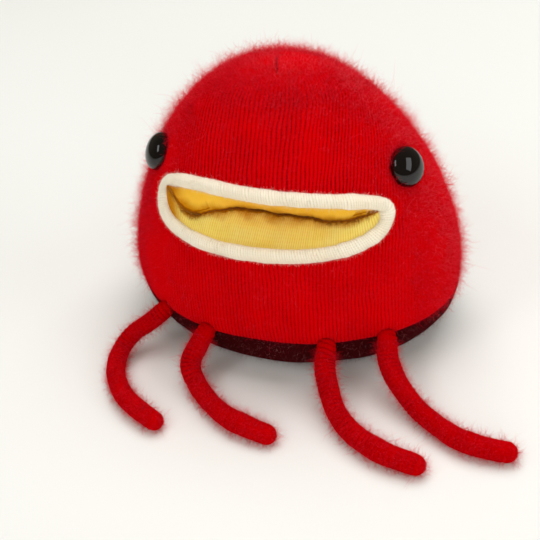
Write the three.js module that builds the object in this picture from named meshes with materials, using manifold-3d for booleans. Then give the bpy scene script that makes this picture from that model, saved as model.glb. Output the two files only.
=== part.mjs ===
// Plush monster, sewn from knit fabric and stuffed: millimetres, +Z up, the face looks along -Y.
// The origin is the point of the flat underside straight below the crown.
// Left and right are as seen from the front.
import Module from "manifold-3d";
import * as THREE from "three";
import { mergeVertices } from "three/addons/utils/BufferGeometryUtils.js";

const wasm = await Module();
wasm.setup();

// Clearances
const GAP = 0.3; // left open wherever two pieces meet
const PAST = 12; // how far a cutter reaches past the skin it opens

// Body, a rounded cone with an oval plan and a flat underside
const BODY_HALF_WIDTH = 82; // at the widest height
const BODY_HALF_DEPTH = 61.5; // from the middle to the front
const BODY_BACK_DEPTH = 53.5; // from the middle to the flatter back
const BODY_HEIGHT = 137.8;
const WIDEST_HEIGHT = 30.6;
const BOTTOM_HALF_WIDTH = 60; // of the flat underside
const SIDE_POWER = 1.64; // below 2 the sides run straighter towards the top
const CROWN_POWER = 2.04; // above 2 the crown is blunter
const SEAM_HEIGHT = 22.3; // red cover above, dark base below
const COVER_THICKNESS = 2; // knit with its backing
const BODY_SEGMENTS = 40;
const UPPER_RINGS = 12;
const LOWER_RINGS = 4;

// Dart at the top of the front
const DART_LENGTH = 11;
const DART_RADIUS = 0.7;

// Mouth outline, measured across the front of the body
const MOUTH_CENTRE_X = 1.5;
const MOUTH_CORNER_HEIGHT = 81.5;
const MOUTH_HALF_WIDTH = 51.5;
const MOUTH_RISE = 12.2; // corners to the top edge
const MOUTH_DROP = 12.9; // corners to the bottom edge
const MOUTH_TOP_SLOPE = 0.05; // the top edge falls towards the right
const MOUTH_TOP_POWER = 2.6; // above 2 the corners are squarer
const MOUTH_LOW_LEFT_POWER = 3.4;
const MOUTH_LOW_RIGHT_POWER = 2.9;
const MOUTH_STEPS = 36;
const LIP_RADIUS = 3.1;
const LIP_SINK = 0.4; // the lip's centre line below the skin
const LIP_SIDES = 8;

// Pocket behind the mouth: a roof and a floor that meet in a straight sagging seam
const LINING_THICKNESS = 1.4;
const POCKET_SEAM_Y = -32;
const POCKET_SEAM_HALF_WIDTH = 48;
const POCKET_SEAM_SAG = 7;
const POCKET_SLIT = 1.2; // what stays open at the seam
const POCKET_SWELL = 1.25; // above 1 the stuffing presses roof and floor together
const POCKET_RINGS = 4;

// Safety eyes
const LEFT_EYE_ANGLE = 67; // degrees round the body from the front
const LEFT_EYE_HEIGHT = 94;
const RIGHT_EYE_ANGLE = 70;
const RIGHT_EYE_HEIGHT = 95;
const EYE_RADIUS = 9;
const EYE_DOME = 6.6;
const EYE_RIM = 1; // straight edge under the dome
const EYE_SINK = 1.2; // the knit is drawn in under the eye
const EYE_SHANK_RADIUS = 2.4;
const EYE_SHANK_LENGTH = 13;
const EYE_RIB_HEIGHT = 0.4;
const EYE_RIB_PITCH = 2;
const EYE_SEGMENTS = 16;
const WASHER_RADIUS = 7.5;
const WASHER_THICKNESS = 1.6;
const WASHER_DISH = 1.2; // how far its rim curves away from the cover

// Legs, sewn into the seam
const INNER_LEG_ANGLE = 20.7; // degrees round the body from the front
const OUTER_LEG_ANGLE = 41.5;
const LEG_ROOT_RADIUS = 4.5;
const LEG_MIDDLE_RADIUS = 4.9;
const LEG_TIP_RADIUS = 5.1;
const LEG_WALL = 1.5;
const LEG_STANDOFF = 1.5; // the pivot lies this far out of the seam
const LEG_DROP_ANGLE = 25; // how far a leg sinks below its lying place when the toy is picked up
const LEG_ROOT_LENGTH = 9; // stretch of the leg that the seam gives way to
const LEG_REACH = 100; // the routes' shares across and forward are shares of this
const FLOOR_CLEARANCE = 0.1; // under a leg that lies on the floor
const LEG_SIDES = 8;
const LEG_STEPS = 16;
const CAP_RINGS = 3;

// Colours as seen in full light
const RED_KNIT = 0xc4040a;
const DARK_KNIT = 0x2a0a0b;
const CREAM_KNIT = 0xf3efdc;
const YELLOW_KNIT = 0xf4c455;
const WHITE_FIBRE = 0xeeece6;
const BLACK_PLASTIC = 0x0d0807;
const CLEAR_WASHER = 0xdcdcd6;

const BODY_DEPTH_RATIO = BODY_HALF_DEPTH / BODY_HALF_WIDTH;
const LYING_HEIGHT = LEG_TIP_RADIUS + FLOOR_CLEARANCE; // centre line of a leg that lies on the floor

// Each leg's way from its root: shares of LEG_REACH in x and y, then the share of the way down
const LEG_ROUTES = {
  outer_left: [
    [-0.074, -0.036, 0.36],
    [-0.151, -0.081, 0.66],
    [-0.196, -0.155, 0.93],
    [-0.166, -0.289, 1],
    [-0.086, -0.409, 1],
    [0.028, -0.499, 1],
    [0.134, -0.555, 1],
  ],
  inner_left: [
    [-0.032, -0.056, 0.32],
    [-0.052, -0.119, 0.66],
    [-0.006, -0.185, 0.92],
    [0.081, -0.267, 1],
    [0.2, -0.352, 1],
    [0.32, -0.395, 1],
    [0.404, -0.415, 1],
  ],
  inner_right: [
    [0.004, -0.062, 0.36],
    [0.039, -0.144, 0.68],
    [0.099, -0.244, 0.92],
    [0.203, -0.343, 1],
    [0.327, -0.414, 1],
    [0.43, -0.443, 1],
    [0.485, -0.453, 1],
  ],
  outer_right: [
    [0.02, -0.076, 0.34],
    [0.077, -0.159, 0.66],
    [0.179, -0.251, 0.92],
    [0.282, -0.325, 1],
    [0.392, -0.391, 1],
    [0.502, -0.416, 1],
    [0.59, -0.418, 1],
  ],
};

// Turns a closed geometry into a solid
function solid(geometry) {
  const bare = geometry.clone();
  bare.deleteAttribute("normal");
  bare.deleteAttribute("uv");
  const merged = mergeVertices(bare, 1e-4);
  const vertProperties = new Float32Array(merged.attributes.position.array);
  const triVerts = new Uint32Array(merged.index.array);
  return new wasm.Manifold(new wasm.Mesh({ numProp: 3, vertProperties, triVerts }));
}

// Turns a solid into a named mesh with its own material
function meshOf(name, body, colour, roughness) {
  const result = body.getMesh();
  const geometry = new THREE.BufferGeometry();
  geometry.setAttribute("position", new THREE.Float32BufferAttribute(result.vertProperties, 3));
  geometry.setIndex(new THREE.Uint32BufferAttribute(result.triVerts, 1));
  geometry.computeVertexNormals();
  const material = new THREE.MeshStandardMaterial({ color: colour, roughness, metalness: 0 });
  const mesh = new THREE.Mesh(geometry, material);
  mesh.name = name;
  return mesh;
}

// Joins a row of equal rings, each a list of points, into one geometry that a point closes at its start.
// A point closes the end too, unless the last ring is folded flat and so is closed already.
function loft(rings, startPoint, endPoint) {
  const sides = rings[0].length;
  const points = [startPoint, ...rings.flat()];
  const indices = [];
  const at = (ring, side) => 1 + ring * sides + (side % sides);
  const last = rings.length - 1;
  for (let side = 0; side < sides; side += 1) {
    indices.push(0, at(0, side + 1), at(0, side));
    for (let ring = 0; ring < last; ring += 1) {
      indices.push(at(ring, side), at(ring, side + 1), at(ring + 1, side + 1));
      indices.push(at(ring, side), at(ring + 1, side + 1), at(ring + 1, side));
    }
    if (endPoint) {
      indices.push(points.length, at(last, side), at(last, side + 1));
    }
  }
  if (endPoint) {
    points.push(endPoint);
  }
  const geometry = new THREE.BufferGeometry().setFromPoints(points);
  geometry.setIndex(indices);
  return geometry;
}

// Keeps the sign of a value while raising its size to a power
function signedPower(value, power) {
  return Math.sign(value) * Math.abs(value) ** power;
}

// Half the body's width at a height
function halfWidthAt(height) {
  if (height < WIDEST_HEIGHT) {
    const fall = (WIDEST_HEIGHT - height) / WIDEST_HEIGHT;
    return BOTTOM_HALF_WIDTH + (BODY_HALF_WIDTH - BOTTOM_HALF_WIDTH) * Math.sqrt(1 - fall ** 2);
  }
  const rise = (height - WIDEST_HEIGHT) / (BODY_HEIGHT - WIDEST_HEIGHT);
  return BODY_HALF_WIDTH * (1 - rise ** SIDE_POWER) ** (1 / CROWN_POWER);
}

// Outward direction of the skin at an angle round the body and a height
function skinNormal(angle, height) {
  const step = 0.5;
  const width = halfWidthAt(height);
  const slope = (halfWidthAt(height + step) - halfWidthAt(height - step)) / (2 * step);
  const x = Math.sin(angle) / width;
  const y = -Math.cos(angle) / (width * BODY_DEPTH_RATIO);
  return new THREE.Vector3(x, y, -slope / width).normalize();
}

// A point of the skin, or one that lies an offset out of it
function skinPoint(angle, height, offset = 0) {
  const width = halfWidthAt(height);
  const x = width * Math.sin(angle);
  const y = -width * BODY_DEPTH_RATIO * Math.cos(angle);
  return new THREE.Vector3(x, y, height).addScaledVector(skinNormal(angle, height), offset);
}

// The point of the front that lies at a given x and height
function frontPoint(x, height, offset = 0) {
  return skinPoint(Math.asin(x / halfWidthAt(height)), height, offset);
}

// The whole body form, drawn in by an inset on every side
function bodyForm(inset) {
  const width = BODY_HALF_WIDTH - inset;
  const bottomWidth = BOTTOM_HALF_WIDTH - inset;
  const top = BODY_HEIGHT - inset;
  const profile = [new THREE.Vector2(0, inset)];
  for (let ring = 0; ring < LOWER_RINGS; ring += 1) {
    const turn = (ring / LOWER_RINGS) * (Math.PI / 2);
    const radius = bottomWidth + (width - bottomWidth) * Math.sin(turn);
    profile.push(new THREE.Vector2(radius, WIDEST_HEIGHT - (WIDEST_HEIGHT - inset) * Math.cos(turn)));
  }
  for (let ring = 0; ring < UPPER_RINGS; ring += 1) {
    const turn = (ring / UPPER_RINGS) * (Math.PI / 2);
    const radius = width * Math.cos(turn) ** (2 / CROWN_POWER);
    const height = WIDEST_HEIGHT + (top - WIDEST_HEIGHT) * Math.sin(turn) ** (2 / SIDE_POWER);
    profile.push(new THREE.Vector2(radius, height));
  }
  profile.push(new THREE.Vector2(0, top));
  const geometry = new THREE.LatheGeometry(profile, BODY_SEGMENTS);
  geometry.rotateX(Math.PI / 2);
  geometry.scale(1, (BODY_HALF_DEPTH - inset) / width, 1);
  const places = geometry.attributes.position;
  const backShare = (BODY_BACK_DEPTH - inset) / (BODY_HALF_DEPTH - inset);
  for (let index = 0; index < places.count; index += 1) {
    const y = places.getY(index);
    places.setY(index, y > 0 ? y * backShare : y);
  }
  return solid(geometry);
}

// A block that takes in everything between two corners
function block(low, high) {
  const size = new THREE.Vector3().subVectors(high, low);
  const middle = new THREE.Vector3().addVectors(high, low).multiplyScalar(0.5);
  return solid(new THREE.BoxGeometry(size.x, size.y, size.z).translate(middle.x, middle.y, middle.z));
}

// The part of space on one side of the body: limits not given lie past the body
function bodySide({ front = -BODY_HALF_DEPTH - PAST, back = BODY_HALF_DEPTH + PAST,
  bottom = -PAST, top = BODY_HEIGHT + PAST }) {
  const reach = BODY_HALF_WIDTH + PAST;
  return block(new THREE.Vector3(-reach, front, bottom), new THREE.Vector3(reach, back, top));
}

// Mouth outline: where the turn round the mouth meets the skin
function mouthPlace(turn) {
  const lowPower = Math.cos(turn) < 0 ? MOUTH_LOW_LEFT_POWER : MOUTH_LOW_RIGHT_POWER;
  const power = Math.sin(turn) > 0 ? MOUTH_TOP_POWER : lowPower;
  const across = signedPower(Math.cos(turn), 2 / power);
  const up = signedPower(Math.sin(turn), 2 / power);
  const x = MOUTH_CENTRE_X + MOUTH_HALF_WIDTH * across;
  const reach = up > 0 ? MOUTH_RISE - MOUTH_TOP_SLOPE * (x - MOUTH_CENTRE_X) : MOUTH_DROP;
  return { x, height: MOUTH_CORNER_HEIGHT + reach * up };
}

// Height of the seam between the pocket's roof and floor
function pocketSeamHeight(x) {
  const share = (x - MOUTH_CENTRE_X) / POCKET_SEAM_HALF_WIDTH;
  return MOUTH_CORNER_HEIGHT - POCKET_SEAM_SAG * (1 - share ** 2);
}

// The lip's tube, or the wider one that cuts room for it
function lipForm(clearance) {
  const points = [];
  for (let step = 0; step < MOUTH_STEPS; step += 1) {
    const place = mouthPlace((step / MOUTH_STEPS) * 2 * Math.PI);
    points.push(frontPoint(place.x, place.height, -LIP_SINK));
  }
  const path = new THREE.CatmullRomCurve3(points, true);
  return solid(new THREE.TubeGeometry(path, MOUTH_STEPS, LIP_RADIUS + clearance, LIP_SIDES, true));
}

// The middle of a ring of points
function middleOf(ring) {
  return new THREE.Box3().setFromPoints(ring).getCenter(new THREE.Vector3());
}

// One ring of the pocket: share 0 is at the skin and 1 at the pocket's seam, where the floor's points
// lie straight under the roof's
function pocketRing(share, forward, grow) {
  const ring = [];
  for (let step = 0; step < MOUTH_STEPS; step += 1) {
    const turn = (-step / MOUTH_STEPS) * 2 * Math.PI;
    const place = mouthPlace(turn);
    const above = mouthPlace(Math.acos(Math.cos(turn))).x - MOUTH_CENTRE_X;
    const seamX = MOUTH_CENTRE_X + (above * POCKET_SEAM_HALF_WIDTH) / MOUTH_HALF_WIDTH;
    const x = THREE.MathUtils.lerp(place.x, seamX, share);
    const open = (place.height - pocketSeamHeight(x)) * (1 - share) ** POCKET_SWELL;
    const slit = Math.sin(turn) * (POCKET_SLIT / 2) * share;
    const outward = new THREE.Vector2(Math.cos(turn) / MOUTH_HALF_WIDTH, Math.sin(turn) / MOUTH_RISE);
    outward.setLength(grow);
    const depth = THREE.MathUtils.lerp(frontPoint(place.x, place.height).y, POCKET_SEAM_Y, share);
    const y = depth + grow * Math.sqrt(share) - forward;
    ring.push(new THREE.Vector3(x + outward.x, y, pocketSeamHeight(x) + open + slit + outward.y));
  }
  return ring;
}

// The pocket's hollow, or the wider form that a wall or a clearance gives it
function pocketForm(grow) {
  const rings = [pocketRing(0, PAST, grow)];
  for (let ring = 0; ring <= POCKET_RINGS; ring += 1) {
    rings.push(pocketRing(ring / POCKET_RINGS, 0, grow));
  }
  const fold = pocketRing(1, -POCKET_SLIT, grow).map(({ x, y }) => {
    return new THREE.Vector3(x, y, pocketSeamHeight(x));
  });
  return solid(loft([...rings, fold], middleOf(rings[0])));
}

// The plug that opens the cover at the mouth
function mouthPlug(grow) {
  const rings = [pocketRing(0, PAST, grow), pocketRing(0, -PAST, grow)];
  return solid(loft(rings, middleOf(rings[0]), middleOf(rings[1])));
}

// Everything below the seam between the pocket's roof and floor
function belowPocketSeam(shift) {
  const reach = MOUTH_HALF_WIDTH + PAST;
  const left = MOUTH_CENTRE_X - reach;
  const right = MOUTH_CENTRE_X + reach;
  const shape = new THREE.Shape();
  const slopeAtEnd = (2 * POCKET_SEAM_SAG * reach) / POCKET_SEAM_HALF_WIDTH ** 2;
  const endHeight = pocketSeamHeight(right) + shift;
  shape.moveTo(left, 0);
  shape.lineTo(right, 0);
  shape.lineTo(right, endHeight);
  shape.quadraticCurveTo(MOUTH_CENTRE_X, endHeight - slopeAtEnd * reach, left, endHeight);
  const depth = BODY_HALF_DEPTH + PAST;
  const geometry = new THREE.ExtrudeGeometry(shape, { depth, bevelEnabled: false, curveSegments: 16 });
  geometry.rotateX(Math.PI / 2);
  return solid(geometry);
}

// The thin groove of the dart, from the crown down the front
function dartForm() {
  const points = [];
  for (let step = 0; step <= 4; step += 1) {
    const forward = (step / 4) * DART_LENGTH;
    const share = forward / BODY_DEPTH_RATIO / BODY_HALF_WIDTH;
    const rise = (1 - share ** CROWN_POWER) ** (1 / SIDE_POWER);
    points.push(new THREE.Vector3(0, -forward, WIDEST_HEIGHT + (BODY_HEIGHT - WIDEST_HEIGHT) * rise));
  }
  return solid(limbGeometry(new THREE.CatmullRomCurve3(points), () => DART_RADIUS, 6, 6));
}

// A limb of round section along a curve, with a round end at both ends
function limbGeometry(curve, radiusAt, sides, steps) {
  const frames = curve.computeFrenetFrames(steps, false);
  const rings = [];
  const addRing = (step, along, radius) => {
    const centre = curve.getPointAt(step / steps).addScaledVector(frames.tangents[step], along);
    const ring = [];
    for (let side = 0; side < sides; side += 1) {
      const turn = (side / sides) * 2 * Math.PI;
      const point = centre.clone().addScaledVector(frames.normals[step], radius * Math.cos(turn));
      ring.push(point.addScaledVector(frames.binormals[step], radius * Math.sin(turn)));
    }
    rings.push(ring);
  };
  const startRadius = radiusAt(0);
  const endRadius = radiusAt(1);
  for (let cap = 1; cap < CAP_RINGS; cap += 1) {
    const turn = (cap / CAP_RINGS) * (Math.PI / 2);
    addRing(0, -startRadius * Math.cos(turn), startRadius * Math.sin(turn));
  }
  for (let step = 0; step <= steps; step += 1) {
    addRing(step, 0, radiusAt(step / steps));
  }
  for (let cap = CAP_RINGS - 1; cap > 0; cap -= 1) {
    const turn = (cap / CAP_RINGS) * (Math.PI / 2);
    addRing(steps, endRadius * Math.cos(turn), endRadius * Math.sin(turn));
  }
  const start = curve.getPointAt(0).addScaledVector(frames.tangents[0], -startRadius);
  const end = curve.getPointAt(1).addScaledVector(frames.tangents[steps], endRadius);
  return loft(rings, start, end);
}

// A leg's radius swells from the root to the tip
function legRadius(share) {
  if (share < 0.5) {
    return THREE.MathUtils.lerp(LEG_ROOT_RADIUS, LEG_MIDDLE_RADIUS, share * 2);
  }
  return THREE.MathUtils.lerp(LEG_MIDDLE_RADIUS, LEG_TIP_RADIUS, share * 2 - 1);
}

// Where a leg is sewn in
function legRoot(angle) {
  return skinPoint(THREE.MathUtils.degToRad(angle), SEAM_HEIGHT, LEG_STANDOFF);
}

// The leg's centre line in its own frame, from its root
function legCurve(root, route) {
  const points = [new THREE.Vector3(0, 0, 0)];
  for (const [across, forward, down] of route) {
    const drop = (LYING_HEIGHT - root.z) * down;
    points.push(new THREE.Vector3(LEG_REACH * across, LEG_REACH * forward, drop));
  }
  return new THREE.CatmullRomCurve3(points);
}

// One leg: a knit tube that is open where it is sewn in, and the filling in it
function makeLeg(name, angle) {
  const root = legRoot(angle);
  const curve = legCurve(root, LEG_ROUTES[name]);
  const outside = solid(limbGeometry(curve, legRadius, LEG_SIDES, LEG_STEPS));
  const inside = solid(limbGeometry(curve, (share) => legRadius(share) - LEG_WALL, LEG_SIDES, LEG_STEPS));
  const fillingRadius = (share) => legRadius(share) - LEG_WALL - GAP;
  const filling = solid(limbGeometry(curve, fillingRadius, LEG_SIDES, LEG_STEPS));
  const start = curve.getTangentAt(0);
  const mouthCurve = new THREE.LineCurve3(start.clone().multiplyScalar(-PAST), new THREE.Vector3());
  const rootHole = limbGeometry(mouthCurve, () => LEG_ROOT_RADIUS - LEG_WALL - GAP, LEG_SIDES, 1);
  const cover = outside.subtract(inside).subtract(solid(rootHole));
  const leg = new THREE.Group();
  leg.position.copy(root);
  leg.add(meshOf(`leg_${name}`, cover, RED_KNIT, 0.95));
  leg.add(meshOf(`leg_filling_${name}`, filling, WHITE_FIBRE, 1));
  return leg;
}

// The round hollow in which a leg's root sits
function legSeat(angle) {
  const root = legRoot(angle);
  const geometry = new THREE.SphereGeometry(LEG_ROOT_RADIUS + GAP, 16, 12);
  return solid(geometry.translate(root.x, root.y, root.z));
}

// The room that the base leaves a leg's first stretch as the leg sinks
function legSinkRoom([name, angle]) {
  const root = legRoot(angle);
  const curve = legCurve(root, LEG_ROUTES[name]);
  const out = curve.getPointAt(LEG_ROOT_LENGTH / curve.getLength());
  const turn = THREE.MathUtils.degToRad(angle);
  const across = new THREE.Vector3(Math.cos(turn), BODY_DEPTH_RATIO * Math.sin(turn), 0).normalize();
  const stretches = [0.5, 1].map((share) => {
    const end = out.clone().applyAxisAngle(across, THREE.MathUtils.degToRad(LEG_DROP_ANGLE * share));
    const line = new THREE.LineCurve3(new THREE.Vector3(), end);
    const stretch = limbGeometry(line, () => LEG_ROOT_RADIUS + GAP, 2 * LEG_SIDES, 1);
    return solid(stretch.translate(root.x, root.y, root.z));
  });
  return stretches.reduce((sum, stretch) => sum.add(stretch));
}

// A revolved piece whose axis is turned along the skin's outward direction at an eye
function revolveAtEye(eye, profile) {
  const angle = THREE.MathUtils.degToRad(eye.angle);
  const geometry = new THREE.LatheGeometry(profile, EYE_SEGMENTS);
  const upright = new THREE.Vector3(0, 1, 0);
  const turn = new THREE.Quaternion().setFromUnitVectors(upright, skinNormal(angle, eye.height));
  geometry.applyQuaternion(turn);
  const place = skinPoint(angle, eye.height, -EYE_SINK);
  return geometry.translate(place.x, place.y, place.z);
}

// Safety eye: a domed head and a ribbed shank in one piece
function eyeForm(eye, clearance) {
  const shank = EYE_SHANK_RADIUS + clearance;
  const head = EYE_RADIUS + clearance;
  const profile = [new THREE.Vector2(0, -EYE_SHANK_LENGTH - clearance)];
  profile.push(new THREE.Vector2(shank, -EYE_SHANK_LENGTH - clearance));
  if (clearance === 0) {
    for (let depth = EYE_SHANK_LENGTH - EYE_RIB_PITCH; depth > EYE_SHANK_LENGTH / 2; depth -= EYE_RIB_PITCH) {
      profile.push(new THREE.Vector2(shank - EYE_RIB_HEIGHT, -depth));
      profile.push(new THREE.Vector2(shank, -depth + EYE_RIB_PITCH / 2));
    }
  }
  profile.push(new THREE.Vector2(shank, -clearance));
  profile.push(new THREE.Vector2(head, -clearance));
  for (let step = 0; step < 6; step += 1) {
    const turn = (step / 6) * (Math.PI / 2);
    const height = EYE_RIM + (EYE_DOME - EYE_RIM + clearance) * Math.sin(turn);
    profile.push(new THREE.Vector2(head * Math.cos(turn), height));
  }
  profile.push(new THREE.Vector2(0, EYE_DOME + clearance));
  return solid(revolveAtEye(eye, profile));
}

// Lock washer: a dished ring pressed onto the shank inside the cover
function washerForm(eye, clearance) {
  const bore = EYE_SHANK_RADIUS + GAP;
  const topAt = (radius) => {
    const share = (radius - bore) / (WASHER_RADIUS - bore);
    return EYE_SINK - COVER_THICKNESS - GAP - WASHER_DISH * share + clearance;
  };
  const thickness = WASHER_THICKNESS + 2 * clearance;
  const inner = bore - 2 * clearance;
  const rim = WASHER_RADIUS + clearance;
  const profile = [
    new THREE.Vector2(inner, topAt(inner)),
    new THREE.Vector2(inner, topAt(inner) - thickness),
    new THREE.Vector2(rim, topAt(rim) - thickness),
    new THREE.Vector2(rim, topAt(rim)),
    new THREE.Vector2(inner, topAt(inner)),
  ];
  return solid(revolveAtEye(eye, profile));
}

// Takes a list of cutters out of a solid
function cutAll(body, cutters) {
  return cutters.reduce((rest, cutter) => rest.subtract(cutter), body);
}

const EYES = {
  left: { angle: -LEFT_EYE_ANGLE, height: LEFT_EYE_HEIGHT },
  right: { angle: RIGHT_EYE_ANGLE, height: RIGHT_EYE_HEIGHT },
};
const LEGS = {
  outer_left: -OUTER_LEG_ANGLE,
  inner_left: -INNER_LEG_ANGLE,
  inner_right: INNER_LEG_ANGLE,
  outer_right: OUTER_LEG_ANGLE,
};

const monster = new THREE.Group();
monster.name = "plush_monster";

const skin = bodyForm(0);
const shell = skin.subtract(bodyForm(COVER_THICKNESS));
const legSeats = Object.values(LEGS).map(legSeat);
const sinkRooms = Object.entries(LEGS).map(legSinkRoom);
const eyeSeats = Object.values(EYES).map((eye) => eyeForm(eye, GAP));
const washerSeats = Object.values(EYES).map((eye) => washerForm(eye, GAP));
const lipSeat = lipForm(GAP);

// Cover: a front with the mouth's opening, and a plain back
const aboveSeam = SEAM_HEIGHT + GAP / 2;
const frontSide = bodySide({ back: -GAP / 2, bottom: aboveSeam });
const backSide = bodySide({ front: GAP / 2, bottom: aboveSeam });
const pocketSeat = pocketForm(LINING_THICKNESS + 2 * GAP);
const frontCuts = [lipSeat, mouthPlug(LINING_THICKNESS + GAP), dartForm(), ...legSeats, ...eyeSeats];
monster.add(meshOf("body_front", cutAll(shell.intersect(frontSide), frontCuts), RED_KNIT, 0.95));
monster.add(meshOf("body_back", cutAll(shell.intersect(backSide), eyeSeats), RED_KNIT, 0.95));

// Base: a shallow bowl with a flat underside
const baseSide = bodySide({ top: SEAM_HEIGHT - GAP / 2 });
monster.add(meshOf("base_panel", cutAll(shell.intersect(baseSide), [...legSeats, ...sinkRooms]), DARK_KNIT, 0.95));

// Mouth: the rolled lip, then the pocket's roof and floor
monster.add(meshOf("mouth_lip", lipForm(0), CREAM_KNIT, 0.9));
const lining = pocketForm(LINING_THICKNESS).subtract(pocketForm(0)).intersect(bodyForm(GAP));
const liningInPlace = lining.subtract(lipSeat);
const roof = liningInPlace.subtract(belowPocketSeam(GAP / 2));
const floor = liningInPlace.intersect(belowPocketSeam(-GAP / 2));
monster.add(meshOf("pocket_upper", roof, YELLOW_KNIT, 0.9));
monster.add(meshOf("pocket_lower", floor, YELLOW_KNIT, 0.9));

// Stuffing: fills the cover round the pocket, the eyes' shanks and the legs' roots
const stuffingCuts = [lipSeat, pocketSeat, ...legSeats, ...sinkRooms, ...eyeSeats, ...washerSeats];
const stuffing = cutAll(bodyForm(COVER_THICKNESS + GAP), stuffingCuts);
monster.add(meshOf("body_stuffing", stuffing, WHITE_FIBRE, 1));

// Eyes and their washers
for (const [name, eye] of Object.entries(EYES)) {
  monster.add(meshOf(`eye_${name}`, eyeForm(eye, 0), BLACK_PLASTIC, 0.08));
  monster.add(meshOf(`eye_washer_${name}`, washerForm(eye, 0), CLEAR_WASHER, 0.4));
}

// Legs
for (const [name, angle] of Object.entries(LEGS)) {
  monster.add(makeLeg(name, angle));
}

export default monster;
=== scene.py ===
"""Looks of a stuffed knit monster: a fuzzy cover, a rolled lip, a lined pocket, safety eyes and soft legs.

Sizes are in millimetres until a mesh is made. Left and right are as seen from the front, which looks
along -Y.
"""
import logging
import math
from dataclasses import dataclass, field
from enum import Enum
from itertools import product

import bmesh
import bpy
import numpy as np
from mathutils import Matrix, Vector


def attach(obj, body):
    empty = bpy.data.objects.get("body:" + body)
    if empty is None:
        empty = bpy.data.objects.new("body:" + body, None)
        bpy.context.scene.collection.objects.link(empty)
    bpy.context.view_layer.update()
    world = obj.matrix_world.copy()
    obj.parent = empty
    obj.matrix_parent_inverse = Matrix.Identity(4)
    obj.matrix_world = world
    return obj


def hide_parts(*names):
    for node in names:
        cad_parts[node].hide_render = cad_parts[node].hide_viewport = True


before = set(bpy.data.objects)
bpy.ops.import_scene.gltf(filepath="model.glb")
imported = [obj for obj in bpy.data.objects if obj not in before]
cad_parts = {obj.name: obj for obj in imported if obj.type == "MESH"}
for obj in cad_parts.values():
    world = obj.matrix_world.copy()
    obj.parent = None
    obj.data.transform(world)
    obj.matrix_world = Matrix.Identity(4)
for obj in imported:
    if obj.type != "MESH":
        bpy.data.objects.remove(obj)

Array = np.ndarray
Span = tuple[float, float]  # two ends, such as where a change begins and where it is full
MM = 0.001
UP = np.array([0.0, 0.0, 1.0])
log = logging.getLogger("monster")


class Side(Enum):
    """The two sides of the face, by the sign of x there."""

    LEFT = -1
    RIGHT = 1


class Panel(Enum):
    """The two halves of the red cover, by the turn of their middle round the body."""

    FRONT = 0.0
    BACK = math.pi


class Lining(Enum):
    """The two panels of the mouth pocket, by the side of the mouth that they start from."""

    ROOF = 1
    FLOOR = -1


class Kind(Enum):
    """The kinds of shader node that the finishes are made of."""

    MATH = "ShaderNodeMath"
    VECTOR_MATH = "ShaderNodeVectorMath"
    SPLIT = "ShaderNodeSeparateXYZ"
    RANGE = "ShaderNodeMapRange"
    MIX = "ShaderNodeMix"
    RAMP = "ShaderNodeValToRGB"
    NOISE = "ShaderNodeTexNoise"
    PLACE = "ShaderNodeTexCoord"
    KNIT_MAP = "ShaderNodeUVMap"
    FIELD = "ShaderNodeAttribute"
    BUMP = "ShaderNodeBump"
    PRINCIPLED = "ShaderNodeBsdfPrincipled"
    DIFFUSE = "ShaderNodeBsdfDiffuse"
    BACKGROUND = "ShaderNodeBackground"
    OUTPUT = "ShaderNodeOutputMaterial"
    WORLD_OUTPUT = "ShaderNodeOutputWorld"


# ---- small helpers


def linear(hex_colour: str) -> tuple[float, float, float, float]:
    """Turns an sRGB hex colour into the linear one that a shader takes.

    Args:
        hex_colour: six hex digits, such as "c4040a".

    Returns:
        Red, green, blue and an alpha of 1.
    """
    parts = [int(hex_colour[i : i + 2], 16) / 255 for i in (0, 2, 4)]
    red, green, blue = (p / 12.92 if p <= 0.04045 else ((p + 0.055) / 1.055) ** 2.4 for p in parts)
    return red, green, blue, 1.0


def add_node(
    tree: bpy.types.NodeTree, kind: Kind, inputs: dict | None = None, **settings: object
) -> bpy.types.Node:
    """Adds a node with its settings, values and links.

    Args:
        tree: the node tree that the node joins.
        kind: which node it is.
        inputs: by socket name or number, the value that it holds or the socket that feeds it.
        **settings: properties of the node itself.

    Returns:
        The new node.
    """
    node = tree.nodes.new(kind.value)
    for name, value in settings.items():
        setattr(node, name, value)
    for key, value in (inputs or {}).items():
        if isinstance(value, bpy.types.NodeSocket):
            tree.links.new(value, node.inputs[key])
        else:
            node.inputs[key].default_value = value
    return node


def set_ramp(node: bpy.types.Node, stops: list[tuple[float, str]]) -> None:
    """Gives a colour ramp its stops.

    Args:
        node: a ColorRamp node.
        stops: positions from 0 to 1 with their sRGB hex colours.
    """
    elements = node.color_ramp.elements
    while len(elements) < len(stops):
        elements.new(0.5)
    for element, (place, colour) in zip(elements, stops):
        element.position = place
        element.color = linear(colour)


def new_material(name: str) -> tuple[bpy.types.Material, bpy.types.NodeTree]:
    """Makes an empty node material and returns it with its tree."""
    material = bpy.data.materials.new(name)
    material.use_nodes = True
    material.node_tree.nodes.clear()
    return material, material.node_tree


def unit(vectors: Array) -> Array:
    """Scales each row to a length of 1."""
    return vectors / np.maximum(np.linalg.norm(vectors, axis=-1, keepdims=True), 1e-12)


def smooth_step(low: float, high: float, value: Array) -> Array:
    """Rises smoothly from 0 at low to 1 at high, or falls where high is the lower."""
    share = np.clip((value - low) / (high - low), 0, 1)
    return share * share * (3 - 2 * share)


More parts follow.
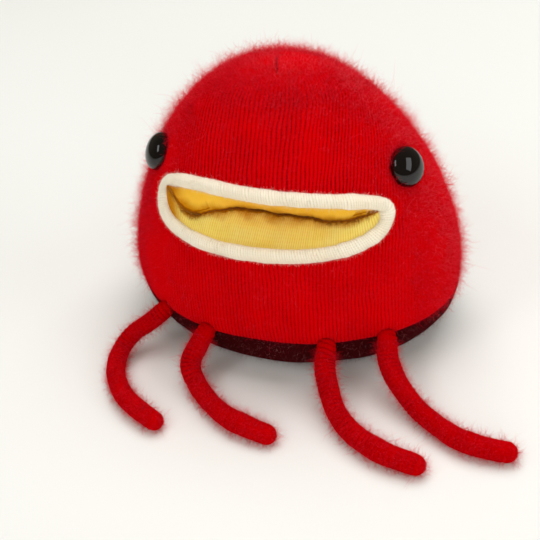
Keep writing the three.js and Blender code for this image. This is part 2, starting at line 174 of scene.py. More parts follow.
def grid_faces(rows: int, columns: int, start: int = 0, wrap: bool = False) -> Array:
    """Joins rows of points into quads.

    Args:
        rows: number of rows.
        columns: number of points in each row.
        start: number of the first point.
        wrap: whether each row closes on itself.

    Returns:
        Quads, one per line of four point numbers.
    """
    row = np.arange(rows - 1)[:, None] * columns
    column = np.arange(columns if wrap else columns - 1)[None, :]
    after = (column + 1) % columns
    quads = [row + column, row + after, row + columns + after, row + columns + column]
    return np.stack([np.broadcast_to(q, (rows - 1, column.size)) for q in quads], -1).reshape(-1, 4) + start


def fan(centre: int, ring: Array) -> Array:
    """Closes a ring of points with triangles to a centre point."""
    return np.stack([np.full(len(ring), centre), ring, np.roll(ring, -1)], -1)


def zip_loops(one: Array, other: Array, one_share: Array, other_share: Array) -> Array:
    """Joins two rows of points of unlike counts with triangles.

    Args:
        one: point numbers along the first row.
        other: point numbers along the second row.
        one_share: how far along the row each point of the first lies, never falling.
        other_share: the same for the second.

    Returns:
        Triangles, one per line of three point numbers.
    """
    i = j = 0
    faces = []
    while i < len(one) - 1 or j < len(other) - 1:
        forward = j == len(other) - 1 or (i < len(one) - 1 and one_share[i + 1] <= other_share[j + 1])
        if forward:
            faces.append((one[i], one[i + 1], other[j]))
            i += 1
        else:
            faces.append((one[i], other[j + 1], other[j]))
            j += 1
    return np.array(faces)


def make_piece(
    name: str,
    points: Array,
    faces: list[Array],
    uv: Array | None = None,
    uv_period: tuple[float, float] = (0.0, 0.0),
    uv_name: str = "knit",
    fields: dict[str, Array] | None = None,
    mend: bool = False,
) -> bpy.types.Object:
    """Makes a smooth-shaded mesh object at the origin.

    Args:
        name: the piece's name.
        points: places in millimetres.
        faces: arrays of triangles or quads.
        uv: a place on the knit for each point, in wales and courses.
        uv_period: how many wales and courses a closed round has, so that the last face of a round joins on.
        uv_name: the name of the map that holds those places.
        fields: by name, a value from 0 to 1 for each point, which the material reads.
        mend: whether the faces are turned to point outwards.

    Returns:
        The new object.
    """
    mesh = bpy.data.meshes.new(name)
    loops = np.concatenate([f.reshape(-1) for f in faces]).astype(np.int32)
    totals = np.concatenate([np.full(len(f), f.shape[1]) for f in faces]).astype(np.int32)
    starts = np.concatenate([[0], np.cumsum(totals)[:-1]]).astype(np.int32)
    mesh.vertices.add(len(points))
    mesh.vertices.foreach_set("co", (points * MM).astype(np.float32).ravel())
    mesh.loops.add(len(loops))
    mesh.loops.foreach_set("vertex_index", loops)
    mesh.polygons.add(len(totals))
    mesh.polygons.foreach_set("loop_start", starts)
    mesh.polygons.foreach_set("use_smooth", np.ones(len(totals), bool))
    if uv is not None:
        corner = uv[loops].astype(np.float64)
        face_of = np.repeat(np.arange(len(totals)), totals)
        for axis, period in enumerate(uv_period):
            if period:
                highest = np.maximum.reduceat(corner[:, axis], starts)[face_of]
                corner[:, axis] += period * (highest - corner[:, axis] > period / 2)
        layer = mesh.uv_layers.new(name=uv_name)
        layer.uv.foreach_set("vector", corner.astype(np.float32).ravel())
    for field_name, values in (fields or {}).items():
        attribute = mesh.attributes.new(field_name, "FLOAT", "POINT")
        attribute.data.foreach_set("value", values.astype(np.float32).ravel())
    mesh.update(calc_edges=True)
    mesh.validate()
    if mend:
        work = bmesh.new()
        work.from_mesh(mesh)
        bmesh.ops.recalc_face_normals(work, faces=work.faces)
        work.to_mesh(mesh)
        work.free()
    piece = bpy.data.objects.new(name, mesh)
    bpy.context.scene.collection.objects.link(piece)
    return piece


def report(piece: bpy.types.Object) -> None:
    """Logs a piece's name and number of faces."""
    log.info("%s: %d faces", piece.name, len(piece.data.polygons))


# ---- finishes


@dataclass(frozen=True)
class KnitFinish:
    """Brushed knit: columns of stitches (wales) with painted shade in the pits between them, blurred by loose
    fibre.

    The mesh's "clear" field says how plainly the stitches show, and its "depth" field how deep in a crease a
    place is, which the material paints as shade.
    """

    name: str
    yarn: str
    lit_yarn: str
    groove_shade: str
    shade: str  # painted shade halfway into a crease
    # painted shade deep in a crease
    crease_shade: str
    groove_start: float = 0.36  # share of the way from a wale's middle to its edge
    joined: float = 0.66  # how much of the painted groove shade stays between two pits
    cover: float = 0.62  # how much of a pit shows where loose fibre lies over it
    climb: float = 0.55  # how far a stitch's legs climb to the wale's edge, in courses
    stitch_relief: float = 0.2
    bump: float = 0.8
    cloud_size: float = 16.0  # millimetres between the slow changes of colour
    cloud_share: float = 0.5
    fibres: float = 1300.0  # tufts of fibre in a metre
    sheen: float = 0.2
    sheen_tint: str = "ff1826"

    def pits(self, tree: bpy.types.NodeTree) -> bpy.types.NodeSocket:
        """Adds the pattern of pits: 1 in the middle of a pit and 0 on the yarn."""
        place = add_node(tree, Kind.KNIT_MAP, uv_map="knit").outputs[0]
        split = add_node(tree, Kind.SPLIT, {0: place})
        turn = add_node(tree, Kind.MATH, {0: split.outputs[0]}, operation="FRACT").outputs[0]
        off = add_node(tree, Kind.MATH, {0: turn, 1: 2.0, 2: -1.0}, operation="MULTIPLY_ADD").outputs[0]
        edge = add_node(tree, Kind.MATH, {0: off}, operation="ABSOLUTE").outputs[0]
        groove_shade = add_node(
            tree, Kind.RANGE, {0: edge, 1: self.groove_start, 2: 1.0}, interpolation_type="SMOOTHSTEP"
        ).outputs[0]
        # Each stitch is a V: its two legs climb from the middle of the wale to its edges
        climb = add_node(
            tree, Kind.MATH, {0: edge, 1: self.climb, 2: split.outputs[1]}, operation="MULTIPLY_ADD"
        ).outputs[0]
        course = add_node(tree, Kind.MATH, {0: climb}, operation="FRACT").outputs[0]
        swing = add_node(tree, Kind.MATH, {0: course, 1: 2.0, 2: -1.0}, operation="MULTIPLY_ADD").outputs[0]
        between = add_node(tree, Kind.MATH, {0: swing}, operation="ABSOLUTE").outputs[0]
        gap = add_node(
            tree,
            Kind.RANGE,
            {0: between, 1: 0.2, 2: 0.9, 3: self.joined, 4: 1.0},
            interpolation_type="SMOOTHSTEP",
        ).outputs[0]
        # Loose fibre lies over some pits and leaves others open
        stretch = add_node(
            tree, Kind.VECTOR_MATH, {0: place, 1: (0.75, 0.4, 1.0)}, operation="MULTIPLY"
        ).outputs[0]
        cover = add_node(tree, Kind.NOISE, {"Vector": stretch, "Scale": 1.0, "Detail": 2.0}).outputs[0]
        open_share = add_node(tree, Kind.RANGE, {0: cover, 1: 0.35, 2: 0.6, 3: self.cover, 4: 1.0}).outputs[0]
        clear = add_node(tree, Kind.FIELD, attribute_name="clear").outputs["Fac"]
        pit = add_node(tree, Kind.MATH, {0: groove_shade, 1: gap}, operation="MULTIPLY").outputs[0]
        pit = add_node(tree, Kind.MATH, {0: pit, 1: open_share}, operation="MULTIPLY").outputs[0]
        return add_node(tree, Kind.MATH, {0: pit, 1: clear}, operation="MULTIPLY").outputs[0]

    def make(self) -> bpy.types.Material:
        """Builds the material."""
        material, tree = new_material(self.name)
        pit = self.pits(tree)
        where = add_node(tree, Kind.PLACE).outputs["Object"]
        cloud = add_node(
            tree, Kind.NOISE, {"Vector": where, "Scale": 1000 / self.cloud_size, "Detail": 3.0}
        ).outputs[0]
        fibre = add_node(
            tree, Kind.NOISE, {"Vector": where, "Scale": self.fibres, "Detail": 4.0, "Roughness": 0.7}
        ).outputs[0]
        spread = add_node(tree, Kind.RANGE, {0: cloud, 1: 0.35, 2: 0.65, 4: self.cloud_share}).outputs[0]
        worn = add_node(tree, Kind.MATH, {0: fibre, 1: 0.8, 2: spread}, operation="MULTIPLY_ADD").outputs[0]
        worn = add_node(tree, Kind.MATH, {0: worn, 1: 0.4}, operation="SUBTRACT", use_clamp=True).outputs[0]
        colour = add_node(
            tree, Kind.MIX, {0: worn, 6: linear(self.yarn), 7: linear(self.lit_yarn)}, data_type="RGBA"
        ).outputs[2]
        grain = add_node(tree, Kind.RANGE, {0: fibre, 1: 0.3, 2: 0.7, 3: 0.7, 4: 1.0}).outputs[0]
        # Painted shade in the pits between stitches: the groove colour is mixed in by how deep a pit is
        depth = add_node(tree, Kind.MATH, {0: pit, 1: grain}, operation="MULTIPLY").outputs[0]
        fold = add_node(tree, Kind.FIELD, attribute_name="depth").outputs["Fac"]
        ragged = add_node(tree, Kind.MATH, {0: fibre, 1: 0.9, 2: -0.45}, operation="MULTIPLY_ADD").outputs[0]
        ragged = add_node(tree, Kind.MATH, {0: ragged, 1: fold}, operation="MULTIPLY").outputs[0]
        fold = add_node(tree, Kind.MATH, {0: fold, 1: ragged}, operation="ADD", use_clamp=True).outputs[0]
        # Painted shade in creases: the depth field mixes in the shade colour, then the crease colour
        shaded = add_node(tree, Kind.RANGE, {0: fold, 1: 0.0, 2: 0.5}).outputs[0]
        deep = add_node(tree, Kind.RANGE, {0: fold, 1: 0.45, 2: 0.9}).outputs[0]
        for share, over in ((depth, self.groove_shade), (shaded, self.shade), (deep, self.crease_shade)):
            colour = add_node(
                tree, Kind.MIX, {0: share, 6: colour, 7: linear(over)}, data_type="RGBA"
            ).outputs[2]
        rise = add_node(tree, Kind.MATH, {0: fibre, 1: 0.5}, operation="MULTIPLY").outputs[0]
        height = add_node(tree, Kind.MATH, {0: pit, 1: -1.0, 2: rise}, operation="MULTIPLY_ADD").outputs[0]
        bump = add_node(
            tree, Kind.BUMP, {"Strength": self.bump, "Distance": self.stitch_relief * MM, "Height": height}
        ).outputs[0]
        shader = add_node(
            tree,
            Kind.PRINCIPLED,
            {
                "Base Color": colour,
                "Normal": bump,
                "Roughness": 1.0,
                "Specular IOR Level": 0.0,
                "Sheen Weight": self.sheen,
                "Sheen Roughness": 0.5,
                "Sheen Tint": linear(self.sheen_tint),
            },
        )
        add_node(tree, Kind.OUTPUT, {0: shader.outputs[0]})
        return material


@dataclass(frozen=True)
class HairFinish:
    """Loose wool fibres, each of its own shade: some dark, most like the yarn, a few pale; the palest end
    also serves as painted glow at the rims.
    """

    name: str
    stops: tuple[tuple[float, str], ...]
    sheen: float = 0.25
    sheen_tint: str = "ff2020"

    def make(self) -> bpy.types.Material:
        """Builds the material."""
        material, tree = new_material(self.name)
        tone = add_node(tree, Kind.FIELD, attribute_name="tone").outputs["Fac"]
        ramp = add_node(tree, Kind.RAMP, {0: tone})
        set_ramp(ramp, list(self.stops))
        shader = add_node(
            tree,
            Kind.PRINCIPLED,
            {
                "Base Color": ramp.outputs[0],
                "Roughness": 0.9,
                "Specular IOR Level": 0.0,
                "Sheen Weight": self.sheen,
                "Sheen Roughness": 0.5,
                "Sheen Tint": linear(self.sheen_tint),
            },
        )
        add_node(tree, Kind.OUTPUT, {0: shader.outputs[0]})
        return material


@dataclass(frozen=True)
class FillingFinish:
    """Crimped polyester fibre: soft white with painted grey shade in its hollows."""

    name: str = "polyester_filling"
    fibre: str = "efede8"
    hollow_shade: str = "b9b6ae"

    def make(self) -> bpy.types.Material:
        """Builds the material."""
        material, tree = new_material(self.name)
        where = add_node(tree, Kind.PLACE).outputs["Object"]
        tuft = add_node(
            tree, Kind.NOISE, {"Vector": where, "Scale": 160.0, "Detail": 5.0, "Distortion": 1.4}
        ).outputs[0]
        ramp = add_node(tree, Kind.RAMP, {0: tuft})
        set_ramp(ramp, [(0.35, self.hollow_shade), (0.62, self.fibre)])
        bump = add_node(tree, Kind.BUMP, {"Strength": 0.7, "Distance": 0.8 * MM, "Height": tuft}).outputs[0]
        shader = add_node(
            tree,
            Kind.PRINCIPLED,
            {"Base Color": ramp.outputs[0], "Normal": bump, "Roughness": 1.0, "Specular IOR Level": 0.1},
        )
        add_node(tree, Kind.OUTPUT, {0: shader.outputs[0]})
        return material


@dataclass(frozen=True)
class PlasticFinish:
    """Moulded plastic with faint swirls of its pigment, and fine handling marks in its gloss."""

    name: str
    body: str
    swirl: str
    roughness: float
    gloss: float = 1.5  # refractive index

    def make(self) -> bpy.types.Material:
        """Builds the material."""
        material, tree = new_material(self.name)
        where = add_node(tree, Kind.PLACE).outputs["Object"]
        flow = add_node(
            tree, Kind.NOISE, {"Vector": where, "Scale": 90.0, "Detail": 2.0, "Distortion": 0.8}
        ).outputs[0]
        ramp = add_node(tree, Kind.RAMP, {0: flow})
        set_ramp(ramp, [(0.35, self.body), (0.7, self.swirl)])
        marks = add_node(tree, Kind.NOISE, {"Vector": where, "Scale": 900.0, "Detail": 3.0}).outputs[0]
        gloss = add_node(
            tree, Kind.RANGE, {0: marks, 1: 0.4, 2: 0.8, 3: self.roughness, 4: self.roughness * 1.6}
        ).outputs[0]
        shader = add_node(
            tree, Kind.PRINCIPLED, {"Base Color": ramp.outputs[0], "Roughness": gloss, "IOR": self.gloss}
        )
        add_node(tree, Kind.OUTPUT, {0: shader.outputs[0]})
        return material


# ---- shapes shared by several pieces


@dataclass(frozen=True)
class Pull:
    """A place where the stuffed fabric is drawn in a little: its middle, its reach and its depth."""

    middle: tuple[float, float, float]
    reach: float
    depth: float


@dataclass(frozen=True)
class BodyShape:
    """The body's form: a rounded cone with an oval plan, a flatter back and a flat underside."""

    half_width: float = 82.0
    front_depth: float = 61.5
    back_depth: float = 53.5
    height: float = 137.8
    widest_height: float = 30.6
    bottom_half_width: float = 60.0
    side_power: float = 1.64
    crown_power: float = 2.04
    seam_height: float = 22.3
    skin_depth: float = 0.65  # the knit lies so far within the smooth form
    crown_depth: float = 0.25  # and so much further over the crown, under its longer nap
    crown: Span = (100.0, 130.0)  # the heights between which that sets in
    table: dict[str, Array] = field(init=False, repr=False, compare=False)

    def __post_init__(self) -> None:
        """Works out the profile by its length from the underside's edge, and the plan by its turn."""
        low = np.linspace(0, math.pi / 2, 600)[:-1]
        high = np.linspace(0, math.pi / 2, 3000)
        swell = self.half_width - self.bottom_half_width
        taper = self.half_width * np.cos(high) ** (2 / self.crown_power)
        width = np.concatenate([self.bottom_half_width + swell * np.sin(low), taper])
        rise = (self.height - self.widest_height) * np.sin(high) ** (2 / self.side_power)
        height = np.concatenate([self.widest_height * (1 - np.cos(low)), self.widest_height + rise])
        along = np.concatenate([[0], np.cumsum(np.hypot(np.diff(width), np.diff(height)))])
        turn = np.linspace(-math.pi, 2 * math.pi, 6001)
        stretch = np.hypot(np.cos(turn), self.depth_ratio(turn) * np.sin(turn))
        around = np.concatenate([[0], np.cumsum((stretch[1:] + stretch[:-1]) / 2 * np.diff(turn))])
        around -= np.interp(0, turn, around)
        table = {
            "along": along,
            "width": width,
            "height": height,
            "width_slope": np.gradient(width, along),
            "height_slope": np.gradient(height, along),
            "turn": turn,
            "around": around,
        }
        object.__setattr__(self, "table", table)

    def depth_ratio(self, turn: Array) -> Array:
        """The body's depth as a share of its width, on the side that an angle round it faces."""
        return np.where(np.cos(turn) < 0, self.back_depth, self.front_depth) / self.half_width

    @property
    def top(self) -> float:
        """The profile's whole length, up to the crown."""
        return float(self.table["along"][-1])

    @property
    def seam(self) -> float:
        """The profile's length up to the seam between the red cover and the dark base."""
        return float(self.along_at(np.array(self.seam_height)))

    def at(self, what: str, along: Array) -> Array:
        """Reads one column of the profile's table at some lengths."""
        return np.interp(along, self.table["along"], self.table[what])

    def along_at(self, height: Array) -> Array:
        """The profile's length up to a height."""
        return np.interp(height, self.table["height"], self.table["along"])

    def turn_at(self, around: Array) -> Array:
        """The angle round the body for an arc length round it, of a body one unit wide."""
        return np.interp(around, self.table["around"], self.table["turn"])

    def around_at(self, turn: Array) -> Array:
        """The arc length from the front for an angle round a body one unit wide."""
        return np.interp(turn, self.table["turn"], self.table["around"])

    def normals(self, turn: Array, along: Array) -> Array:
        """Outward directions of the skin.

        Args:
            turn: angles round the body from the front, in radians.
            along: lengths up the profile.

        Returns:
            One unit vector per place.
        """
        climb = self.at("height_slope", along)
        ratio = self.depth_ratio(turn)
        x = ratio * climb * np.sin(turn)
        y = -climb * np.cos(turn)
        return unit(np.stack([x, y, -ratio * self.at("width_slope", along)], -1))

    def points(self, turn: Array, along: Array, offset: Array | float = 0.0) -> Array:
        """Places on the skin, or an offset out of it."""
        width = self.at("width", along)
        height = self.at("height", along)
        y = -self.depth_ratio(turn) * width * np.cos(turn)
        skin = np.stack([width * np.sin(turn), y, height], -1)
        return skin + self.normals(turn, along) * np.asarray(offset)[..., None]

    def front_points(self, x: Array, height: Array, offset: Array | float = 0.0) -> Array:
        """Places on the front at some x and height."""
        along = self.along_at(height)
        return self.points(np.arcsin(x / self.at("width", along)), along, offset)

    def drawn_in(self, skin: Array) -> Array:
        """How far the knit lies within the smooth form, to leave room for its nap."""
        depth = self.skin_depth + self.crown_depth * smooth_step(*self.crown, skin[..., 2])
        for pull in PULLS:
            away = np.linalg.norm(skin - np.array(pull.middle), axis=-1) / pull.reach
            depth = depth + pull.depth * np.exp(-(away**2))
        return depth


@dataclass(frozen=True)
class MouthShape:
    """The mouth's outline, measured across the front of the body."""

    centre_x: float = 1.5
    corner_height: float = 81.5
    half_width: float = 51.5
    rise: float = 12.2
    drop: float = 12.9
    top_slope: float = 0.05
    top_power: float = 2.6
    low_left_power: float = 3.4
    low_right_power: float = 2.9

    def power(self, left: Array, upper: Array) -> Array:
        """How square the outline is in each quarter."""
        return np.where(upper, self.top_power, np.where(left, self.low_left_power, self.low_right_power))

    def place(self, turn: Array) -> tuple[Array, Array]:
        """The outline's x and height at an angle round the mouth."""
        cosine, sine = np.cos(turn), np.sin(turn)
        power = self.power(cosine < 0, sine > 0)
        across = np.sign(cosine) * np.abs(cosine) ** (2 / power)
        up = np.sign(sine) * np.abs(sine) ** (2 / power)
        x = self.centre_x + self.half_width * across
        reach = np.where(up > 0, self.rise - self.top_slope * (x - self.centre_x), self.drop)
        return x, self.corner_height + reach * up

    def depth(self, x: Array, height: Array) -> Array:
        """How far a place lies inside the outline: below 1 it is inside."""
        off = x - self.centre_x
        lift = height - self.corner_height
        reach = np.where(lift > 0, self.rise - self.top_slope * off, self.drop)
        power = self.power(off < 0, lift > 0)
        return (np.abs(off / self.half_width) ** power + np.abs(lift / reach) ** power) ** (1 / power)


@dataclass(frozen=True)
class Gauge:
    """The fabric's stitch sizes: the wales lie closest where the fabric hangs and wider over the brow."""

    brow_wale: float = 1.98  # width of a column of stitches between the two edges of the brow
    side_wale: float = 1.65
    low_wale: float = 1.72
    brow_left: float = -38.0
    brow_right: float = 20.0
    course: float = 1.35  # height of a stitch
    relief: float = 0.42  # depth of the grooves between the columns
    gathered: float = 34.0  # half the width below which the wales crowd
    brow: Span = (60.0, 94.0)  # the heights between which the brow's wales set in

    def wales(self, arc: Array, height: Array, half_width: Array) -> Array:
        """The number of wales from the middle of the panel to a place.

        Args:
            arc: how far round the body the place lies.
            height: its height.
            half_width: half the body's width there.

        Returns:
            Wales, below 0 on the left.
        """
        gathered = arc / np.sqrt(np.clip(half_width, 0.5, self.gathered) / self.gathered)
        middle = np.clip(gathered, self.brow_left, self.brow_right)
        high = middle / self.brow_wale + (gathered - middle) / self.side_wale
        return high + (gathered / self.low_wale - high) * (1 - smooth_step(*self.brow, height))


@dataclass(frozen=True)
class EyePlace:
    """Where an eye sits: its angle round the body and its height, with the sizes that both eyes share."""

    angle: float
    height: float
    radius: float = 9.0
    sink: float = 1.2

    def centre(self, offset: float = 0.0) -> tuple[Array, Array]:
        """The eye's place on the skin and the direction in which it faces."""
        turn = np.array(math.radians(self.angle))
        along = BODY.along_at(np.array(self.height))
        return BODY.points(turn, along, offset), BODY.normals(turn, along)


@dataclass(frozen=True)
class LegPlace:
    """Where a leg is sewn in, and its way from there: x and y from the root, then its share of the drop."""

    name: str
    angle: float
    route: tuple[tuple[float, float, float], ...]
    radii: tuple[float, ...]
    standoff: float = 1.5
    lying_height: float = 5.2

    def root(self) -> Array:
        """The middle of the leg's end at the seam."""
        return BODY.points(np.array(math.radians(self.angle)), np.array(BODY.seam), self.standoff)

    def knots(self) -> Array:
        """The points that the leg's middle runs through."""
        root = self.root()
        drop = self.lying_height - root[2]
        return np.array([root] + [root + (x, y, drop * down) for x, y, down in self.route])


GIRTH_SHARES = (0.0, 0.15, 0.35, 0.6, 0.8, 1.0)  # where along a leg its radii are given
PULLS = (
    Pull((-76.0, -12.0, 80.0), 24.0, 0.9),
    Pull((80.0, 4.0, 27.0), 16.0, 0.9),
    Pull((46.0, 26.0, 110.0), 30.0, 0.5),
)
BODY = BodyShape()
MOUTH = MouthShape()
GAUGE = Gauge()
EYES = {Side.LEFT: EyePlace(-67.0, 94.0), Side.RIGHT: EyePlace(70.0, 95.0)}
LEGS = (
    LegPlace(
        "outer_left",
        -41.5,
        (
            (-7.4, -3.6, 0.36), (-15.1, -8.1, 0.66), (-19.6, -15.5, 0.93), (-16.6, -28.9, 1),
            (-8.6, -40.9, 1), (2.8, -49.9, 1), (13.4, -55.5, 1),
        ),
        (4.4, 4.4, 4.4, 4.5, 4.6, 4.5),
    ),
    LegPlace(
        "inner_left",
        -20.7,
        (
            (-3.2, -5.6, 0.32), (-5.2, -11.9, 0.66), (-0.6, -18.5, 0.92), (8.1, -26.7, 1),
            (20, -35.2, 1), (32, -39.5, 1), (40.4, -41.5, 1),
        ),
        (4.5, 5.0, 4.6, 4.5, 5.0, 4.6),
    ),
    LegPlace(
        "inner_right",
        20.7,
        (
            (0.4, -6.2, 0.36), (3.9, -14.4, 0.68), (9.9, -24.4, 0.92), (20.3, -34.3, 1),
            (32.7, -41.4, 1), (43, -44.3, 1), (48.5, -45.3, 1),
        ),
        (4.5, 4.9, 4.6, 4.8, 5.1, 4.6),
    ),
    LegPlace(
        "outer_right",
        41.5,
        (
            (2, -7.6, 0.34), (7.7, -15.9, 0.66), (17.9, -25.1, 0.92), (28.2, -32.5, 1),
            (39.2, -39.1, 1), (50.2, -41.6, 1), (59, -41.8, 1),
        ),
        (4.5, 4.9, 4.5, 4.5, 4.9, 4.6),
    ),
)
LEG_ROOT_ROOM = 4.2  # the cover gives way this far round a leg's root
LEG_PUSH = 1.2  # and is pushed in so far at most
FLOOR_GAP = 0.05  # the knit stays so far off the floor
HAIR_GAP = 0.06  # and the loose fibres so far


def smooth_curve(knots: Array, steps: int) -> Array:
    """A centripetal Catmull-Rom curve through some points, at even spacing.

    Args:
        knots: the points that the curve passes.
        steps: number of stretches in the result.

    Returns:
        steps + 1 points.
    """
    ends = [2 * knots[0] - knots[1], *knots, 2 * knots[-1] - knots[-2]]
    dense = []
    for p0, p1, p2, p3 in zip(ends, ends[1:], ends[2:], ends[3:]):
        d0, d1, d2 = (max(np.linalg.norm(b - a) ** 0.5, 1e-4) for a, b in ((p0, p1), (p1, p2), (p2, p3)))
        m1 = ((p1 - p0) / d0 - (p2 - p0) / (d0 + d1) + (p2 - p1) / d1) * d1
        m2 = ((p2 - p1) / d1 - (p3 - p1) / (d1 + d2) + (p3 - p2) / d2) * d1
        t = np.linspace(0, 1, 60, endpoint=False)[:, None]
        leaving = (2 * t**3 - 3 * t**2 + 1) * p1 + (t**3 - 2 * t**2 + t) * m1
        dense.append(leaving + (3 * t**2 - 2 * t**3) * p2 + (t**3 - t**2) * m2)
    return even_points(np.concatenate([*dense, knots[-1:]]), steps)


def even_points(path: Array, steps: int) -> Array:
    """Spaces a path's points evenly along its length."""
    length = np.concatenate([[0], np.cumsum(np.linalg.norm(np.diff(path, axis=0), axis=1))])
    wanted = np.linspace(0, length[-1], steps + 1)
    return np.stack([np.interp(wanted, length, path[:, axis]) for axis in range(3)], -1)


def lumps(points: Array, size: float, seed: int) -> Array:
    """Soft unevenness of a stuffed form.

    Args:
        points: places in millimetres.
        size: usual distance between lumps.
        seed: which unevenness.

    Returns:
        A height from about -1 to 1 for each place.
    """
    waves = 7
    rng = np.random.default_rng(seed)
    total = np.zeros(points.shape[:-1])
    for _ in range(waves):
        wave = unit(rng.normal(size=3)) * (2 * math.pi / size) * rng.uniform(0.6, 1.4)
        total += np.sin(points @ wave + rng.uniform(0, 2 * math.pi))
    return total / (waves / 2)


def seat_legs(points: Array, normals: Array) -> Array:
    """Pushes fabric with these places and outward directions in where the legs' roots sit."""
    for leg in LEGS:
        away = points - leg.root()
        outward = (away * normals).sum(-1)
        room = outward**2 - (away**2).sum(-1) + LEG_ROOT_ROOM**2
        push = np.where(room > 0, np.maximum(outward + np.sqrt(np.maximum(room, 0)), 0), 0)
        points = points - normals * np.minimum(push, LEG_PUSH)[..., None]
    return points


# ---- the red cover


@dataclass
class CoverPanel:
    """One half of the red cover: a knit panel with its thickness, its wales as real ridges."""

    panel: Panel
    material: bpy.types.Material
    columns: int = 784
    row_step: float = 1.4
    coarse: int = 8  # the hidden inside has one column for so many outside
    coarse_rows: int = 4  # and one row
    thickness: float = 2.15
    seam_gap: float = 0.05
    seam_dip: float = 0.3
    seam_width: float = 2.0
    lump_height: float = 0.35
    wander: float = 0.16  # how far the wales stray sideways, in wales
    dart: tuple[tuple[float, float], ...] = ((-1.2, 3.2), (1.4, 12.7))  # x and forward reach of its two ends
    dart_depth: float = 0.6
    dart_shade: float = 0.75  # painted shade in the crease of the dart
    dart_height: float = 115.0  # the dart lies above this
    eye_dip: float = 0.8
    eye_dip_reach: Span = (-2.0, 3.5)  # from the eye's rim
    clear_left: Span = (-64.0, -36.0)  # the nap thins between these, by arc length
    clear_right: Span = (52.0, 84.0)
    clear_low: Span = (52.0, 80.0)  # and between these, by height
    clear_crown: Span = (126.0, 137.0)
    least_clear: float = 0.12
    crown_gap: float = 0.25  # how far the panel ends from the very top

    @property
    def middle(self) -> float:
        """The arc length round a unit body at which the panel's middle lies."""
        return float(BODY.around_at(np.array(self.panel.value)))

    @property
    def half(self) -> float:
        """Half the panel's breadth, as an arc length round a unit body."""
        return abs(float(BODY.around_at(np.array(math.pi / 2))) - self.middle)

    def knit_place(self, around: Array, along: Array, skin: Array) -> Array:
        """Wales and courses at places of the panel: the wales narrow towards the crown."""
        width = np.maximum(BODY.at("width", along), 0.01)
        arc = width * (around - self.middle)
        wale = GAUGE.wales(arc, skin[..., 2], width) + self.wander * lumps(skin, 11, 51)
        return np.stack([wale, along / GAUGE.course + self.wander * lumps(skin, 13, 52)], -1)

    def clearness(self, around: Array, along: Array, skin: Array) -> Array:
        """How plainly the stitches show: the nap covers them towards the sides and over the crown."""
        arc = BODY.at("width", along) * (around - self.middle)
        left = smooth_step(*self.clear_left, arc)
        right = 1 - smooth_step(*self.clear_right, arc)
        crown = 1 - smooth_step(*self.clear_crown, skin[..., 2])
        low = 0.7 + 0.3 * smooth_step(*self.clear_low, skin[..., 2])
        patchy = 0.85 + 0.15 * lumps(skin, 26, 53)
        plain = self.least_clear + (1 - self.least_clear) * left * right * crown
        return np.clip(plain * low * patchy, 0, 1)

    def dips(self, around: Array, along: Array, skin: Array) -> tuple[Array, Array]:
        """How far the fabric lies below the smooth form along the seams, under the eyes and in the dart.

        Args:
            around: arc lengths round the body, of a body one unit wide.
            along: lengths up the profile.
            skin: the places on the smooth form.

        Returns:
            The depths, and the painted shade of the dart's crease at each place, from 0 to 1.
        """
        width = BODY.at("width", along)
        edge = (self.half - np.abs(around - self.middle)) * width
        dip = self.seam_dip * (1 - smooth_step(0, self.seam_width, edge))
        dip += self.seam_dip * (1 - smooth_step(0, self.seam_width, along - BODY.seam))
        for eye in EYES.values():
            centre, _ = eye.centre()
            away = np.linalg.norm(skin - centre, axis=-1)
            near, far = self.eye_dip_reach
            dip += self.eye_dip * (1 - smooth_step(eye.radius + near, eye.radius + far, away))
        crease_shade = np.zeros_like(dip)
        if self.panel is Panel.FRONT:
            (x_high, near), (x_low, far) = self.dart
            forward = -skin[..., 1]
            line = np.interp(forward, [near, far], [x_high, x_low])
            reach = (skin[..., 2] > self.dart_height) * (1 - smooth_step(far - 2, far + 1, forward))
            away = np.abs(skin[..., 0] - line)
            dip += self.dart_depth * reach * (1 - smooth_step(0.2, 1.5, away))
            # painted shade along the dart's crease
            crease_shade = self.dart_shade * reach * (1 - smooth_step(0.1, 0.6, away))
        return dip, crease_shade

    def surface(self, around: Array, along: Array, relief: bool) -> tuple[Array, Array, Array]:
        """Places and knit coordinates of the outside, or of the plain inside.

        Args:
            around: arc lengths round the body, of a body one unit wide.
            along: lengths up the profile.
            relief: whether this is the outside, with its ridges and dips.

        Returns:
            The points, their wales and courses, and for each its clearness and painted crease shade.
        """
        turn = BODY.turn_at(around)
        skin = BODY.points(turn, along)
        knit = self.knit_place(around, along, skin)
        if not relief:
            return BODY.points(turn, along, -self.thickness), knit, np.zeros((*skin.shape[:-1], 2))
        clear = self.clearness(around, along, skin)
        dip, crease_shade = self.dips(around, along, skin)
        ridge = 0.5 * GAUGE.relief * (1 + np.cos(2 * math.pi * knit[..., 0])) * clear
        offset = self.lump_height * lumps(skin, 24, 5) - BODY.drawn_in(skin) - ridge - dip
        normals = BODY.normals(turn, along)
        points = skin + normals * np.maximum(offset, 0.15 - self.thickness)[..., None]
        return seat_legs(points, normals), knit, np.stack([clear, crease_shade], -1)

